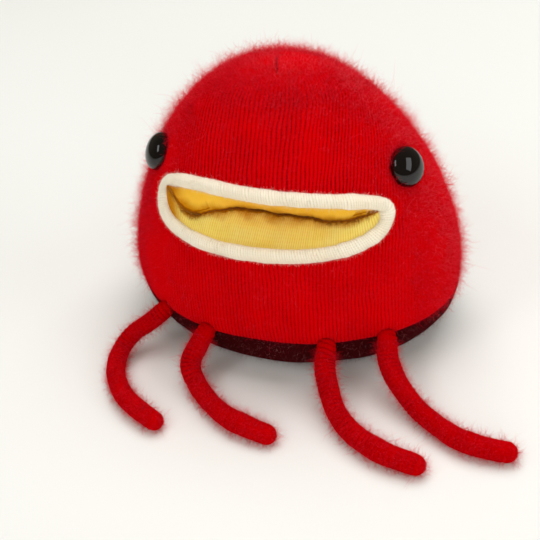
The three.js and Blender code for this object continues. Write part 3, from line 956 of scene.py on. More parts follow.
    def layer(
        self, columns: int, rows: int, relief: bool
    ) -> tuple[list[Array], Array, list[Array], list[Array]]:
        """One side of the panel as a grid, cut out at the mouth.

        Args:
            columns: number of stretches across.
            rows: number of stretches up.
            relief: whether this is the outside.

        Returns:
            Points with their knit coordinates and fields, quads, and the numbers and shares along the outer
            border and round the mouth.
        """
        across = np.linspace(self.middle - self.half, self.middle + self.half, columns + 1)
        up = np.linspace(BODY.seam + self.seam_gap, BODY.top - self.crown_gap, rows + 1)
        points, knit, fields = self.surface(*np.meshgrid(across, up), relief)
        points[..., 1] += (-1 if self.panel is Panel.FRONT else 1) * self.seam_gap
        points, knit, fields = points.reshape(-1, 3), knit.reshape(-1, 2), fields.reshape(-1, 2)
        quads = grid_faces(rows + 1, columns + 1)
        number = np.arange(len(points)).reshape(rows + 1, columns + 1)
        border = np.concatenate(
            [number[0], number[1:, -1], number[-1, -2::-1], number[-2:0:-1, 0], number[0, :1]]
        )
        sides = (columns, rows, columns, rows)
        share = np.concatenate([[0.0]] + [k + np.arange(1, n + 1) / n for k, n in enumerate(sides)])
        hole, hole_share = np.array([], int), np.array([])
        if self.panel is Panel.FRONT:
            inside = (MOUTH.depth(points[:, 0], points[:, 2]) < 1) & (points[:, 1] < 0)
            cut = inside[quads].any(1)
            quads, removed = quads[~cut], quads[cut]
            hole, hole_share = self.rim_of(removed, points)
        return [points, knit, fields], quads, [border, share], [hole, hole_share]

    @staticmethod
    def rim_of(removed: Array, points: Array) -> tuple[Array, Array]:
        """Orders the points round a cut-out, and says how far round each lies.

        Args:
            removed: the quads cut out.
            points: all places.

        Returns:
            The rim's point numbers, closed, and how far round the mouth each lies.
        """
        edges = np.concatenate([removed[:, [k, (k + 1) % 4]] for k in range(4)])
        known = {(a, b) for a, b in edges.tolist()}
        follow = {a: b for a, b in known if (b, a) not in known}
        start = max(follow, key=lambda k: points[k, 0])
        rim = [start]
        while follow[rim[-1]] != start:
            rim.append(follow[rim[-1]])
        rim.append(start)
        x, _, height = points[rim].T
        up = (height - MOUTH.corner_height) / MOUTH.rise
        turn = np.unwrap(np.arctan2(up, (x - MOUTH.centre_x) / MOUTH.half_width))
        return np.array(rim), np.maximum.accumulate((turn - turn[0]) / (2 * math.pi))

    def build(self) -> None:
        """Makes the panel."""
        inner_rows = round((BODY.top - BODY.seam) / self.row_step / self.coarse_rows)
        outer, quads, border, hole = self.layer(self.columns, inner_rows * self.coarse_rows, True)
        plain = self.layer(self.columns // self.coarse, inner_rows, False)
        inner, inner_quads, inner_border, inner_hole = plain
        shift = len(outer[0])
        faces = [quads, inner_quads[:, ::-1] + shift]
        faces.append(zip_loops(border[0], inner_border[0] + shift, border[1], inner_border[1]))
        if len(hole[0]):
            faces.append(zip_loops(hole[0], inner_hole[0] + shift, hole[1], inner_hole[1]))
        points, knit, fields = (np.concatenate(pair) for pair in zip(outer, inner))
        name = f"knit_cover_{self.panel.name.lower()}"
        fields = {"clear": fields[:, 0], "depth": fields[:, 1]}
        piece = make_piece(name, points, faces, knit, fields=fields, mend=True)
        piece.data.materials.append(self.material)
        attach(piece, "body")
        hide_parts(f"body_{self.panel.name.lower()}")
        report(piece)


@dataclass
class Base:
    """The dark underside: a shallow knit bowl with a flat bottom."""

    material: bpy.types.Material
    columns: int = 400
    flat_rows: int = 16
    side_rows: int = 30
    inner_rows: int = 6
    thickness: float = 1.9
    seam_gap: float = 0.2
    lump_height: float = 0.25
    dip: float = 0.4
    seam_dip: float = 0.6  # how much more it is drawn in along the seam
    clear: float = 0.45  # how plainly its stitches show

    def build(self) -> None:
        """Makes the bowl."""
        top = BODY.seam - self.seam_gap
        turn = np.linspace(-math.pi, math.pi, self.columns, endpoint=False)
        ratio = BODY.depth_ratio(turn)
        points, knit = [], []
        for share in np.linspace(0, 1, self.flat_rows + 1)[1:-1]:
            x = BODY.bottom_half_width * share * np.sin(turn)
            y = -BODY.bottom_half_width * ratio * share * np.cos(turn)
            points.append(np.stack([x, y, np.full_like(x, FLOOR_GAP)], -1))
            knit.append(np.stack([x / GAUGE.low_wale, y / GAUGE.course], -1))
        for along in np.linspace(0, top, self.side_rows + 1):
            lengths = np.full_like(turn, along)
            skin = BODY.points(turn, lengths)
            normals = BODY.normals(turn, lengths)
            dip = self.dip + self.seam_dip * (1 - smooth_step(0, 3, top - lengths))
            offset = self.lump_height * lumps(skin, 18, 8) * smooth_step(0, 6, lengths) - dip
            place = seat_legs(skin + normals * offset[:, None], normals)
            place[:, 2] = np.maximum(place[:, 2], FLOOR_GAP)
            points.append(place)
            spread = BODY.bottom_half_width + along
            course = -spread * ratio * np.cos(turn) / GAUGE.course
            knit.append(np.stack([spread * np.sin(turn) / GAUGE.low_wale, course], -1))
        for along in np.linspace(top, 0, self.inner_rows + 1):
            lengths = np.full_like(turn, along)
            place = BODY.points(turn, lengths, -self.thickness)
            place[:, 2] = np.maximum(place[:, 2], self.thickness)
            points.append(place)
            knit.append(knit[-1])
        rows = len(points)
        points, knit = np.concatenate(points), np.concatenate(knit)
        middle = np.array([[0, 0, FLOOR_GAP], [0, 0, self.thickness]])
        first, last = np.arange(self.columns), np.arange(self.columns) + (rows - 1) * self.columns
        sheet = grid_faces(rows, self.columns, wrap=True)
        faces = [sheet, fan(len(points), first), fan(len(points) + 1, last)]
        points = np.concatenate([points, middle])
        knit = np.concatenate([knit, np.zeros((2, 2))])
        clear = {"clear": np.full(len(points), self.clear)}
        piece = make_piece("knit_base", points, faces, knit, fields=clear, mend=True)
        piece.data.materials.append(self.material)
        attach(piece, "body")
        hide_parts("base_panel")
        report(piece)


# ---- the mouth


@dataclass
class Lip:
    """The cream band rolled round the mouth: a soft rope with close ribs across it."""

    material: bpy.types.Material
    across_radius: float = 3.15
    out_radius: float = 2.9
    sink: float = 0.4
    rib_pitch: float = 1.15
    rib_height: float = 0.1
    rib_slant: float = 1.2  # ribs that a rib falls back by on its way round the roll
    rib_wander: float = 0.3
    lump_height: float = 0.24
    pucker: float = 0.11
    courses: int = 18
    steps: int = 960
    sides: int = 24

    def path(self) -> tuple[Array, Array]:
        """The roll's middle round the mouth, and the skin's outward direction there."""
        turn = np.linspace(0, 2 * math.pi, 2400, endpoint=False)
        x, height = MOUTH.place(turn)
        raw = np.column_stack([x, height, np.zeros_like(x)])
        closed = even_points(np.concatenate([raw, raw[:1]]), self.steps)[:-1]
        x, height = closed[:, 0], closed[:, 1]
        along = BODY.along_at(height)
        angle = np.arcsin(x / BODY.at("width", along))
        return BODY.points(angle, along, -self.sink), BODY.normals(angle, along)

    def frames(self) -> tuple[Array, Array, Array, Array]:
        """The roll's middle, and its forward, sideways and outward directions there."""
        middle, outward = self.path()
        forward = unit(np.roll(middle, -1, 0) - np.roll(middle, 1, 0))
        across = unit(np.cross(outward, forward))
        return middle, forward, across, unit(np.cross(forward, across))

    def build(self) -> None:
        """Makes the roll."""
        middle, _, across, outward = self.frames()
        step = np.linalg.norm(np.roll(middle, -1, 0) - middle, axis=1)
        length = np.concatenate([[0], np.cumsum(step)[:-1]])
        total = float(step.sum())
        ribs = round(total / self.rib_pitch)
        turn = np.linspace(0, 2 * math.pi, self.sides, endpoint=False)
        slant = self.rib_slant * np.cos(turn)[None, :] / 2
        rib = length[:, None] / total * ribs + slant + self.rib_wander * lumps(middle, 6, 23)[:, None]
        side = across[:, None] * np.cos(turn)[:, None] + outward[:, None] * np.sin(turn)[:, None]
        around = middle[:, None] + 3 * side
        lump = lumps(middle, 8, 21)[:, None] * self.lump_height + self.pucker * lumps(around, 2.0, 22)
        relief = -self.rib_height * np.cos(2 * math.pi * rib) + lump
        wide = (self.across_radius + relief) * np.cos(turn)
        out = (self.out_radius + relief) * np.sin(turn)
        points = middle[:, None] + across[:, None] * wide[..., None] + outward[:, None] * out[..., None]
        knit = np.stack(np.broadcast_arrays(rib, turn[None, :] / (2 * math.pi) * self.courses), -1)
        numbers = np.arange(self.steps * self.sides).reshape(self.steps, self.sides)
        after = np.roll(numbers, -1, 0)
        quads = np.stack([numbers, np.roll(numbers, -1, 1), np.roll(after, -1, 1), after], -1).reshape(-1, 4)
        points = points.reshape(-1, 3)
        clear = {"clear": np.ones(len(points))}
        period = (float(ribs), float(self.courses))
        piece = make_piece("knit_lip", points, [quads], knit.reshape(-1, 2), period, fields=clear, mend=True)
        piece.data.materials.append(self.material)
        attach(piece, "body")
        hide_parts("mouth_lip")
        report(piece)


@dataclass(frozen=True)
class PocketSeam:
    """The waving line where the pocket's roof and floor are sewn together, deepest in the middle."""

    knots: tuple[tuple[float, float, float], ...] = (
        (-46.0, -38.8, 87.6), (-43.4, -40.2, 86.6), (-41.4, -41.7, 84.0), (-38.7, -42.6, 80.6),
        (-35.5, -42.5, 77.8), (-32.0, -42.2, 77.4), (-28.4, -41.2, 77.8), (-21.9, -39.1, 79.1),
        (-15.9, -36.0, 78.9), (-7.5, -33.3, 77.0), (1.9, -32.8, 76.3), (15.9, -34.0, 76.1),
        (31.1, -37.0, 77.4), (38.1, -37.2, 79.3), (43.2, -36.2, 80.8), (49.0, -34.4, 82.8),
    )
    waver: float = 0.35
    quiver: float = 0.16

    def at(self, x: Array) -> Array:
        """Points of the seam at some x."""
        path = smooth_curve(np.array(self.knots), 200)
        line = x[..., None] * (1.0, 0.0, 0.0)
        waver = self.waver * lumps(line, 7, 33) + self.quiver * lumps(line, 1.8, 34)
        height = np.interp(x, path[:, 0], path[:, 2]) + waver
        return np.stack([x, np.interp(x, path[:, 0], path[:, 1]), height], -1)


@dataclass
class PocketPanel:
    """The pocket's roof or floor: lining that swells into the mouth between the lip and the seam."""

    lining: Lining
    seam: PocketSeam
    material: bpy.types.Material
    columns: int = 400
    rows: int = 28
    swell: float = 1.25
    thickness: float = 1.3
    slit: float = 0.04
    relief: float = 0.05
    wale: float = 1.05
    course: float = 1.4
    start_sink: float = 1.4  # how far under the cover it starts, behind the lip
    seam_tuck: float = 0.6  # how far its hidden side reaches behind the seam
    lump_height: float = 0.6
    crease_reach: float = 2.0  # how far the painted shade of the seam spreads up the lining
    shade_reach: float = 5.5  # and how far its painted brown shade does
    seam_shade: float = 0.85  # how dark the painted shade is in the seam
    shade: float = 0.42  # and the painted shade round it
    corner_shade: float = 0.55  # and the painted shade in the narrow corner on the left
    corner: Span = (-36.0, -46.0)  # between which x that corner's painted shade sets in

    def build(self) -> None:
        """Makes the panel."""
        sign = self.lining.value
        turn = np.linspace(math.pi, 0, 1200) * sign
        x, height = MOUTH.place(turn)
        outline = even_points(np.column_stack([x, height, np.zeros_like(x)]), self.columns)
        x, height = outline[:, 0], outline[:, 1]
        start = BODY.front_points(x, height, -self.start_sink)
        low, high = self.seam.knots[0][0], self.seam.knots[-1][0]
        end = self.seam.at(low + (x - x.min()) / (x.max() - x.min()) * (high - low))
        end[:, 2] += sign * self.slit / 2
        share = np.linspace(0, 1, self.rows + 1)[:, None, None]
        flat = start[None] * (1 - share) + end[None] * share
        flat[..., 2] = end[None, :, 2] + (start[:, 2] - end[:, 2])[None] * (1 - share[..., 0]) ** self.swell
        wales = np.broadcast_to((x / self.wale)[None], flat.shape[:2])
        run = np.concatenate([[0], np.cumsum(np.linalg.norm(np.diff(flat, axis=0), axis=-1).mean(1))])
        courses = np.broadcast_to(run[:, None] / self.course, flat.shape[:2])
        ease = np.sin(math.pi * share[..., 0])
        flat[..., 2] += sign * self.relief * 0.5 * (1 + np.cos(2 * math.pi * wales)) * ease
        flat[..., 2] += self.lump_height * lumps(flat, 15, 31 + sign) * ease
        outer = flat + np.array([0, 0, sign * self.thickness])
        outer[-1, :, 1] += self.seam_tuck
        rows, columns = flat.shape[:2]
        points = np.concatenate([flat, outer[::-1]]).reshape(-1, 3)
        knit = np.stack([wales, courses], -1)
        knit = np.concatenate([knit, knit[::-1]]).reshape(-1, 2)
        numbers = np.arange(len(points)).reshape(2 * rows, columns)
        faces = [grid_faces(2 * rows, columns)]
        faces.append(np.stack([numbers[0, :-1], numbers[-1, :-1], numbers[-1, 1:], numbers[0, 1:]], -1))
        for edge in (0, -1):
            ring = numbers[:, edge]
            back = ring[::-1]
            faces.append(np.stack([ring[: rows - 1], ring[1:rows], back[1:rows], back[: rows - 1]], -1))
        part = "upper" if self.lining is Lining.ROOF else "lower"
        # Painted shade: darker near the seam's deep fold and in the narrow left corner
        from_seam = (run[-1] - run)[:, None] + 0.35 * lumps(flat, 4, 35)
        seam_shade = self.seam_shade * (1 - smooth_step(self.crease_reach * 0.2, self.crease_reach, from_seam))
        shade = self.shade * (1 - smooth_step(0.5, self.shade_reach, from_seam + 1.2 * lumps(flat, 12, 36)))
        corner = smooth_step(*self.corner, flat[..., 0]) * self.corner_shade
        depth = np.maximum(np.maximum(seam_shade, shade), corner)
        clear = 0.3 if self.lining is Lining.ROOF else 1.0
        fields = {
            "clear": np.full(len(points), clear),
            "depth": np.concatenate([depth, depth[::-1]]).ravel(),
        }
        piece = make_piece(f"knit_lining_{part}", points, faces, knit, fields=fields, mend=True)
        piece.data.materials.append(self.material)
        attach(piece, "body")
        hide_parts(f"pocket_{part}")
        report(piece)


# ---- the eyes


@dataclass
class Eye:
    """A domed safety eye with its ribbed shank, in one moulding."""

    side: Side
    material: bpy.types.Material
    dome: float = 6.6
    rim: float = 1.0
    edge: float = 0.3  # the rounding of the rim's edge
    shank_radius: float = 2.4
    shank_length: float = 13.0
    plain_length: float = 4.0  # the shank's smooth part, before its ribs
    rib_height: float = 0.4
    rib_pitch: float = 2.0

    def model(self) -> bpy.types.Object:
        """Models the eye upright: half a ball, flattened, with its rim and shank drawn out of it."""
        size = EYES[self.side].radius
        bpy.ops.object.select_all(action="DESELECT")
        bpy.ops.mesh.primitive_uv_sphere_add(segments=64, ring_count=40, radius=size * MM)
        eye = bpy.context.object
        eye.name = f"safety_eye_{self.side.name.lower()}"
        eye.data.name = eye.name
        bpy.ops.object.mode_set(mode="EDIT")
        bpy.ops.mesh.select_all(action="SELECT")
        bpy.ops.mesh.bisect(plane_co=(0, 0, 0), plane_no=(0, 0, 1), clear_inner=True, use_fill=True)
        bpy.ops.mesh.select_all(action="SELECT")
        bpy.ops.transform.resize(value=(1, 1, (self.dome - self.rim) / size), center_override=(0, 0, 0))
        self.select_lowest(eye)
        bpy.ops.mesh.extrude_region_move(TRANSFORM_OT_translate={"value": (0, 0, -self.rim * MM)})
        bpy.ops.mesh.inset(thickness=self.edge * MM, depth=self.edge * MM)
        bpy.ops.mesh.inset(thickness=(size - self.edge - self.shank_radius) * MM)
        steps = int((self.shank_length - self.plain_length) / self.rib_pitch)
        bpy.ops.mesh.extrude_region_move(TRANSFORM_OT_translate={"value": (0, 0, -self.plain_length * MM)})
        narrow = 1 - self.rib_height / self.shank_radius
        down = {"value": (0, 0, -self.rib_pitch / 2 * MM)}
        for _ in range(steps):
            for scale in (narrow, 1 / narrow):
                bpy.ops.transform.resize(value=(scale, scale, 1))
                bpy.ops.mesh.extrude_region_move(TRANSFORM_OT_translate=down)
        bpy.ops.mesh.select_all(action="SELECT")
        bpy.ops.transform.translate(value=(0, 0, self.rim * MM))
        bpy.ops.mesh.remove_doubles(threshold=1e-6)
        bpy.ops.mesh.normals_make_consistent(inside=False)
        bpy.ops.object.mode_set(mode="OBJECT")
        bpy.ops.object.shade_smooth_by_angle(angle=math.radians(35))
        return eye

    @staticmethod
    def select_lowest(piece: bpy.types.Object) -> None:
        """Selects the one flat face at the bottom of the mesh being edited."""
        work = bmesh.from_edit_mesh(piece.data)
        work.select_mode = {"FACE"}
        lowest = min(work.faces, key=lambda f: (round(f.calc_center_median().z, 6), f.normal.z))
        for face in work.faces:
            face.select_set(face is lowest)
        work.select_flush_mode()
        bmesh.update_edit_mesh(piece.data)

    def build(self) -> None:
        """Models the eye and sets it in its place."""
        eye = self.model()
        seat = EYES[self.side]
        place, outward = seat.centre(-seat.sink)
        turn = Vector((0, 0, 1)).rotation_difference(Vector(outward))
        eye.matrix_world = Matrix.Translation(Vector(place * MM)) @ turn.to_matrix().to_4x4()
        bpy.ops.object.select_all(action="DESELECT")
        eye.select_set(True)
        bpy.context.view_layer.objects.active = eye
        bpy.ops.object.transform_apply(location=True, rotation=True, scale=True)
        eye.data.materials.append(self.material)
        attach(eye, "body")
        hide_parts(f"eye_{self.side.name.lower()}")
        report(eye)


# ---- the legs


@dataclass
class Limb:
    """The line and girth of a leg, and frames along it for whatever lies on it."""

    place: LegPlace
    steps: int = 210
    middle: Array = field(init=False)
    forward: Array = field(init=False)
    across: Array = field(init=False)
    upward: Array = field(init=False)

    def __post_init__(self) -> None:
        """Works out the line and its frames."""
        self.middle = smooth_curve(self.place.knots(), self.steps)
        # A thinner stretch lies lower, so that it still rests on the floor
        slack = self.place.lying_height - 0.1 - self.radius(np.linspace(0, 1, self.steps + 1))
        lying = 1 - smooth_step(0, 4, self.middle[:, 2] - self.place.lying_height)
        self.middle[:, 2] -= np.maximum(slack, 0) * lying
        self.forward = unit(np.gradient(self.middle, axis=0))
        self.across = unit(np.cross(self.forward, UP))
        self.upward = unit(np.cross(self.across, self.forward))

    @property
    def root_radius(self) -> float:
        """The radius at the root."""
        return self.place.radii[0]

    @property
    def tip_radius(self) -> float:
        """The radius of the round foot."""
        return self.place.radii[-1]

    @property
    def length(self) -> float:
        """The line's length from root to tip."""
        return float(np.linalg.norm(np.diff(self.middle, axis=0), axis=1).sum())

    def radius(self, share: Array) -> Array:
        """The girth's radius along the leg, which swells and narrows with its stuffing."""
        return np.interp(share, GIRTH_SHARES, self.place.radii)

    def surface(self, share: Array, turn: Array, offset: Array | float = 0.0) -> tuple[Array, Array]:
        """Places and outward directions on the leg. Shares below 0 and above 1 are its round ends.

        Args:
            share: how far along the leg.
            turn: angle round it, 0 to the side and a quarter turn upwards.
            offset: how far out of the plain surface.

        Returns:
            The points and the directions.
        """
        inside = np.clip(share, 0, 1)
        step = inside * self.steps
        frames = [
            np.stack([np.interp(step, np.arange(self.steps + 1), v[:, k]) for k in range(3)], -1)
            for v in (self.middle, self.forward, self.across, self.upward)
        ]
        radius = self.radius(inside)
        beyond = np.where(share > 1, share - 1, np.where(share < 0, share, 0.0)) * self.length / radius
        lean = np.clip(beyond, -1, 1) * (math.pi / 2)
        side = frames[2] * np.cos(turn)[..., None] + frames[3] * np.sin(turn)[..., None]
        outward = side * np.cos(lean)[..., None] + frames[1] * np.sin(lean)[..., None]
        return frames[0] + outward * (radius + offset)[..., None], outward


@dataclass
class Leg:
    """A knit tube with a round closed foot, the ring creases of its stuffing with painted shade in them, and
    its fibre core.
    """

    place: LegPlace
    knit: bpy.types.Material
    filling: bpy.types.Material
    sides: int = 60
    cap_rings: int = 10
    inner_rings: int = 45
    core_sides: int = 24
    core_rings: int = 90
    core_gap: float = 0.45  # between the knit and the core
    wall: float = 1.4
    wales: int = 17
    wale_relief: float = 0.05
    ring_pitch: float = 2.0
    ring_height: float = 0.28
    lump_height: float = 0.14
    clear: float = 0.3  # how plainly the stitches show
    crease_shade: float = 0.45  # painted shade in the rings' creases
    seed: int = 3

    def cover(self, limb: Limb) -> bpy.types.Object:
        """Makes the knit tube, hollow and open at its root."""
        cap = limb.tip_radius / limb.length
        shares = np.concatenate(
            [
                np.linspace(-0.9 * limb.root_radius / limb.length, 0, self.cap_rings, endpoint=False),
                np.linspace(0, 1, limb.steps + 1),
                1 + cap * np.linspace(0, 1, self.cap_rings + 1)[1:-1],
            ]
        )
        turn = np.linspace(0, 2 * math.pi, self.sides, endpoint=False)
        share, around = np.meshgrid(shares, turn, indexing="ij")
        run = share * limb.length
        shape = np.stack([run, 6 * np.cos(around), 6 * np.sin(around)], -1)
        wobble = lumps(shape, 11, self.seed)
        rings = np.cos(2 * math.pi * run / self.ring_pitch + 1.6 * wobble + 0.7 * np.cos(around))
        strength = np.clip(0.6 + 0.6 * lumps(shape, 15, self.seed + 1), 0, 1.2)
        strength *= 1 - 0.5 * smooth_step(0.5, 0.85, share)
        fade = 1 - smooth_step(1.0, 1 + cap, share)
        offset = self.ring_height * np.minimum(rings, 0.4) * strength * fade + self.lump_height * wobble
        offset -= self.wale_relief * 0.5 * (1 + np.cos(around * self.wales)) * fade
        points, _ = limb.surface(share, around, offset)
        points[..., 2] = np.maximum(points[..., 2], FLOOR_GAP)
        knit = np.stack([around / (2 * math.pi) * self.wales, run / GAUGE.course], -1)
        clear = self.clear * fade * (1 - 0.5 * smooth_step(0.3, 0.6, share))
        # painted shade in the rings' creases
        crease_shade = self.crease_shade * smooth_step(0.5, 1.0, -rings) * strength * fade
        inner_shares = np.concatenate([np.linspace(0, 1, self.inner_rings), [1 + cap * 0.5]])
        share, around_in = np.meshgrid(inner_shares, turn, indexing="ij")
        inner, _ = limb.surface(share, around_in, -self.wall)
        course = share * limb.length / GAUGE.course
        inner_knit = np.stack([around_in / (2 * math.pi) * self.wales, course], -1)
        rows = len(shares)
        total = rows * self.sides
        tip = limb.middle[-1] + limb.forward[-1] * limb.tip_radius
        inner_tip = limb.middle[-1] + limb.forward[-1] * (limb.tip_radius - self.wall)
        points = np.concatenate([points.reshape(-1, 3), inner.reshape(-1, 3), [tip, inner_tip]])
        knit = np.concatenate([knit.reshape(-1, 2), inner_knit.reshape(-1, 2), np.zeros((2, 2))])
        fields = {name: np.zeros(len(points)) for name in ("clear", "depth")}
        fields["clear"][:total] = clear.ravel()
        fields["depth"][:total] = crease_shade.ravel()
        ring = np.arange(self.sides)
        last_in = total + (len(inner_shares) - 1) * self.sides
        faces = [
            grid_faces(rows, self.sides, wrap=True),
            grid_faces(len(inner_shares), self.sides, total, wrap=True)[:, ::-1],
            fan(len(points) - 2, ring + total - self.sides),
            fan(len(points) - 1, ring + last_in)[:, ::-1],
            np.stack([ring, total + ring, total + np.roll(ring, -1), np.roll(ring, -1)], -1),
        ]
        name = f"knit_leg_{self.place.name}"
        piece = make_piece(name, points, faces, knit, (float(self.wales), 0.0), fields=fields, mend=True)
        piece.data.materials.append(self.knit)
        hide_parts(f"leg_{self.place.name}")
        return piece

    def core(self, limb: Limb) -> bpy.types.Object:
        """Makes the fibre core, a lumpy closed roll."""
        cap = (limb.tip_radius - self.wall) / limb.length
        end = np.linspace(0, 1, 6)[1:-1]
        shares = np.concatenate([-cap * end[::-1], np.linspace(0, 1, self.core_rings), 1 + cap * end])
        turn = np.linspace(0, 2 * math.pi, self.core_sides, endpoint=False)
        share, around = np.meshgrid(shares, turn, indexing="ij")
        shape = np.stack([share * limb.length, 4 * np.cos(around), 4 * np.sin(around)], -1)
        bulge = 0.12 * lumps(shape, 5, self.seed + 2)
        points, _ = limb.surface(share, around, -self.wall - self.core_gap + bulge)
        ends = [
            limb.middle[0] - limb.forward[0] * (limb.root_radius - self.wall - 0.5),
            limb.middle[-1] + limb.forward[-1] * (limb.tip_radius - self.wall - 0.5),
        ]
        count = points.shape[0] * points.shape[1]
        ring = np.arange(self.core_sides)
        faces = [
            grid_faces(len(shares), self.core_sides, wrap=True),
            fan(count, ring)[:, ::-1],
            fan(count + 1, ring + count - self.core_sides),
        ]
        points = np.concatenate([points.reshape(-1, 3), ends])
        piece = make_piece(f"fibre_core_{self.place.name}", points, faces, mend=True)
        piece.data.materials.append(self.filling)
        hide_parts(f"leg_filling_{self.place.name}")
        return piece

    def build(self) -> Limb:
        """Makes the leg and returns its line, for the hair that grows on it."""
        limb = Limb(self.place)
        for piece in (self.cover(limb), self.core(limb)):
            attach(piece, f"{self.place.name}_leg")
            report(piece)
        return limb


# ---- fuzz


@dataclass
class Strands:
    """Many loose fibres: their points and faces, each point's shade, and its place on its own fibre."""

    points: Array
    faces: list[Array]
    tone: Array
    spot: Array  # from 0 to 1 round the fibre and up it
    number: Array  # which fibre a point belongs to

    @staticmethod
    def merge(parts: list["Strands"]) -> "Strands":
        """Joins several lots of fibres into one."""
        faces, start, numbers, fibres = [], 0, [], 0
        for part in parts:
            faces += [f + start for f in part.faces]
            numbers.append(part.number + fibres)
            start += len(part.points)
            fibres += int(part.number[-1]) + 1 if len(part.number) else 0
        points = np.concatenate([part.points for part in parts])
        tone = np.concatenate([part.tone for part in parts])
        spot = np.concatenate([part.spot for part in parts])
        return Strands(points, faces, tone, spot, np.concatenate(numbers))

    def cells(self, margin: float = 0.08) -> Array:
        """A flat map in which every fibre has a square cell of its own, with a margin."""
        side = max(math.ceil(math.sqrt(self.number[-1] + 1)), 1)
        corner = np.stack([self.number % side, self.number // side], -1)
        return (corner + margin + (1 - 2 * margin) * self.spot) / side

    def make(self, name: str, material: bpy.types.Material, slot: str, rider: str = "body") -> None:
        """Makes one piece of the fibres.

        Args:
            name: the piece's name.
            material: what the fibres are made of.
            slot: the record's slot for that material; not used.
            rider: the body that the piece moves with.
        """
        self.points[:, 2] = np.maximum(self.points[:, 2], HAIR_GAP)
        tone = {"tone": self.tone}
        piece = make_piece(name, self.points, self.faces, self.cells(), uv_name="OFBake", fields=tone)
        piece.data.materials.append(material)
        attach(piece, rider)
        report(piece)


@dataclass(frozen=True)
class Fuzz:
    """One kind of loose fibre: how long, how thick, how curly and how many."""

    per_square: float  # fibres on each square millimetre
    length: tuple[float, float]
    thickness: float
    lean: float  # how far the fibres lean off upright
    curl: float  # how far they bend over, as a share of their length
    joints: int = 1
    wave: float = 0.0  # how far they wind, as a share of their length
    tone: Span = (0.3, 0.7)  # their shades, from the darkest at 0 to the lightest at 1
    lighten: float = 0.2  # how much lighter the tip is than the root

    def grow(
        self,
        roots: Array,
        outward: Array,
        rng: np.random.Generator,
        reach: Array | float = 1.0,
        lift: Array | float = 0.0,
    ) -> Strands:
        """Grows a closed three-sided tapering fibre at each root.

        Args:
            roots: where the fibres start.
            outward: the surface's direction there.
            rng: the source of their unevenness.
            reach: how much longer than usual the fibres are.
            lift: how much lighter than usual they are painted, for the painted glow where light shines
                through them.

        Returns:
            The fibres.
        """
        count = len(roots)
        lean = rng.normal(size=(count, 3)) * self.lean
        along = unit(outward + lean)
        inward = np.minimum((along * outward).sum(-1, keepdims=True) - 0.12, 0)
        along = unit(along - 2 * inward * outward)
        bend = rng.normal(size=(count, 3)) * self.curl
        bend -= (bend * along).sum(-1, keepdims=True) * along
        length = rng.uniform(*self.length, size=(count, 1)) * np.reshape(reach, (-1, 1))
        side = unit(np.cross(along, rng.normal(size=(count, 3))))
        other = np.cross(along, side)
        phase = rng.uniform(0, 2 * math.pi, (count, 1))
        turns = rng.uniform(1.0, 2.2, (count, 1)) * 2 * math.pi
        thick = self.thickness * rng.uniform(0.7, 1.2, (count, 1))
        shade = rng.uniform(*self.tone, (count, 1)) + np.reshape(lift, (-1, 1))
        rows, tones, spots = [], [], []
        for joint in range(self.joints + 1):
            share = joint / self.joints
            middle = roots + along * length * share + bend * length * share**2
            if self.wave:
                sway = np.sin(phase + turns * share) - np.sin(phase)
                twist = np.cos(phase + turns * share) - np.cos(phase)
                middle = middle + (side * sway + other * twist) * self.wave * length
            if joint == self.joints:
                rows.append(middle[:, None])
                tones.append(shade + self.lighten)
                spots.append((0.5, 1.0))
                break
            radius = thick / 2 * (1 - 0.6 * share)
            corners = [
                middle + radius * (math.cos(a) * side + math.sin(a) * other)
                for a in (0, 2 * math.pi / 3, 4 * math.pi / 3)
            ]
            rows.append(np.stack(corners, 1))
            tones.append(np.repeat(shade + self.lighten * share, 3, axis=1))
            spots += [(0.0, share), (0.5, share + 0.12), (1.0, share)]
        points = np.concatenate(rows, 1)
        each = points.shape[1]
        start = np.arange(count)[:, None, None] * each
        sides = ((0, 1), (1, 2), (2, 0))
        last = 3 * (self.joints - 1)
        quads = [[low + a, low + b, low + 3 + b, low + 3 + a] for low in range(0, last, 3) for a, b in sides]
        triangles = [[0, 2, 1]] + [[last + a, last + b, each - 1] for a, b in sides]
        shapes = [shape for shape in (quads, triangles) if shape]
        faces = [(start + np.array(shape)[None]).reshape(-1, len(shape[0])) for shape in shapes]
        tone = np.clip(np.concatenate(tones, 1), 0, 1).ravel()
        spot = np.tile(np.array(spots), (count, 1))
        return Strands(points.reshape(-1, 3), faces, tone, spot, np.repeat(np.arange(count), each))


